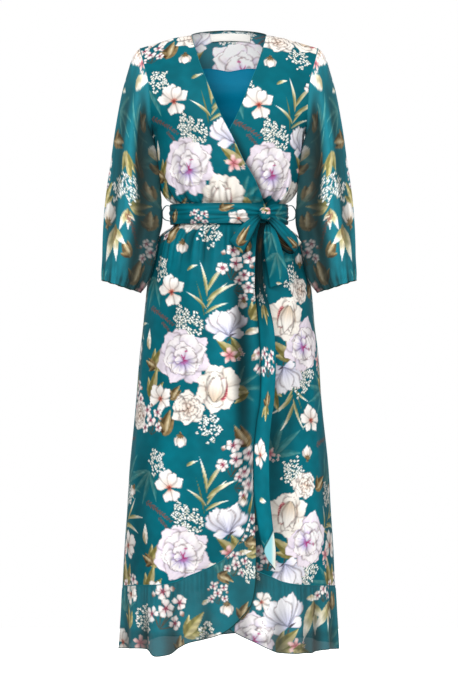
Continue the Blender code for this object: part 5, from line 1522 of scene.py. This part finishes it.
# the thread loops that carry the sash: two strands wound round each other
loopPath = table("out drop", [
    (116, 335), (124, 333.5), (130, 338), (133.4, 346.5), (133, 354.5), (128, 361.5), (116, 365),
])
loopPath["share"] = np.linspace(0, 1, len(loopPath["out"]))
twist = {"turns": 12, "points": 90, "offset": 0.6, "radius": 0.8, "forward": 3.0}
share = np.linspace(0, 1, twist["points"])
out, drop = along(loopPath, "share", "out", share), along(loopPath, "share", "drop", share)
for hand, side in (("Right", -1), ("Left", 1)):
    middle = np.stack([side * out, 0 * out - twist["forward"], -drop - cut["waistDip"] / 2], -1)
    for strand, replaced, start in (("", ["belt_loop_" + hand.lower()], 0.0), ("Second", [], np.pi)):
        wind = 2 * np.pi * twist["turns"] * share + start
        path = middle + twist["offset"] * np.stack([np.cos(wind), np.sin(wind), 0 * wind], -1)
        name = f"threadLoop{hand}{strand}"
        addPiece(name, cordMesh(name, path, twist["radius"]), replaced, ["loopThread"])

# the folded edges and rolled hems, as fine cords along the cloth's edges
for name, path, finish, radius in edgeCords:
    addPiece(name, cordMesh(name, path, radius), [], [finish])
print("edges made")

# the studio, in metres: a floor and a world that show white, soft lamps round the dress, and the
# camera in front of it
stage = {
    "floor": -1.5, "floorHalf": 2, "floorFront": -1.5, "floorBack": 2, "target": (0, 0, -0.55),
    "camera": (0.0, -3.6, -0.614), "lens": 94.2, "shown": 1.0, "lighting": 0.4,
}
floorMaterial = bpy.data.materials.new("floorWhite")
floorMaterial.use_nodes = True
tree = floorMaterial.node_tree
seen = node(tree, "ShaderNodeLightPath").outputs["Is Camera Ray"]
feed(tree, tree.nodes["Principled BSDF"], {"Base Color": (0.85, 0.85, 0.85, 1), "Roughness": 0.9,
                                           "Emission Color": (1, 1, 1, 1), "Emission Strength": seen})
floorMesh = bpy.data.meshes.new("studioFloor")
half, front, back, height = (stage[key] for key in ("floorHalf", "floorFront", "floorBack", "floor"))
corners = [(-half, front, height), (half, front, height), (half, back, height), (-half, back, height)]
floorMesh.from_pydata(corners, [], [(0, 1, 2, 3)])
floorMesh.materials.append(floorMaterial)
floor = bpy.data.objects.new("studioFloor", floorMesh)
bpy.context.scene.collection.objects.link(floor)

world = bpy.data.worlds.new("studio")
bpy.context.scene.world = world
world.use_nodes = True
tree = world.node_tree
tree.nodes.clear()
seen = node(tree, "ShaderNodeLightPath").outputs["Is Camera Ray"]
brightness = {"Value": seen, "To Min": stage["lighting"], "To Max": stage["shown"]}
strength = node(tree, "ShaderNodeMapRange", None, brightness).outputs[0]
sky = node(tree, "ShaderNodeBackground", None, {"Color": (1, 1, 1, 1), "Strength": strength})
node(tree, "ShaderNodeOutputWorld", None, {"Surface": sky.outputs[0]})

lamps = table("x y z size power", [
    (-1.0, -2.6, 1.1, 0.9, 44), (1.8, -1.6, 0.1, 1.2, 13), (0.1, -3.2, 0.1, 1.0, 23),
    (0.2, -0.4, 2.0, 1.2, 10), (0.6, 2.2, 0.6, 1.6, 16),
])
for number, (x, y, z, size, power) in enumerate(zip(*lamps.values())):
    light = bpy.data.lights.new(f"softLight{number + 1}", "AREA")
    light.shape, light.size, light.energy = "SQUARE", size, power
    lamp = bpy.data.objects.new(light.name, light)
    lamp.location = (x, y, z)
    towards = Vector(np.array(stage["target"]) - (x, y, z))
    lamp.rotation_euler = towards.to_track_quat("-Z", "Y").to_euler()
    bpy.context.scene.collection.objects.link(lamp)

lens = bpy.data.cameras.new("camera")
lens.lens, lens.sensor_width = stage["lens"], 36
camera = bpy.data.objects.new("camera", lens)
camera.location = stage["camera"]
camera.rotation_euler = (np.pi / 2, 0, 0)
bpy.context.scene.collection.objects.link(camera)
bpy.context.scene.camera = camera
bpy.context.scene.view_settings.view_transform = "Standard"
print("stage set")
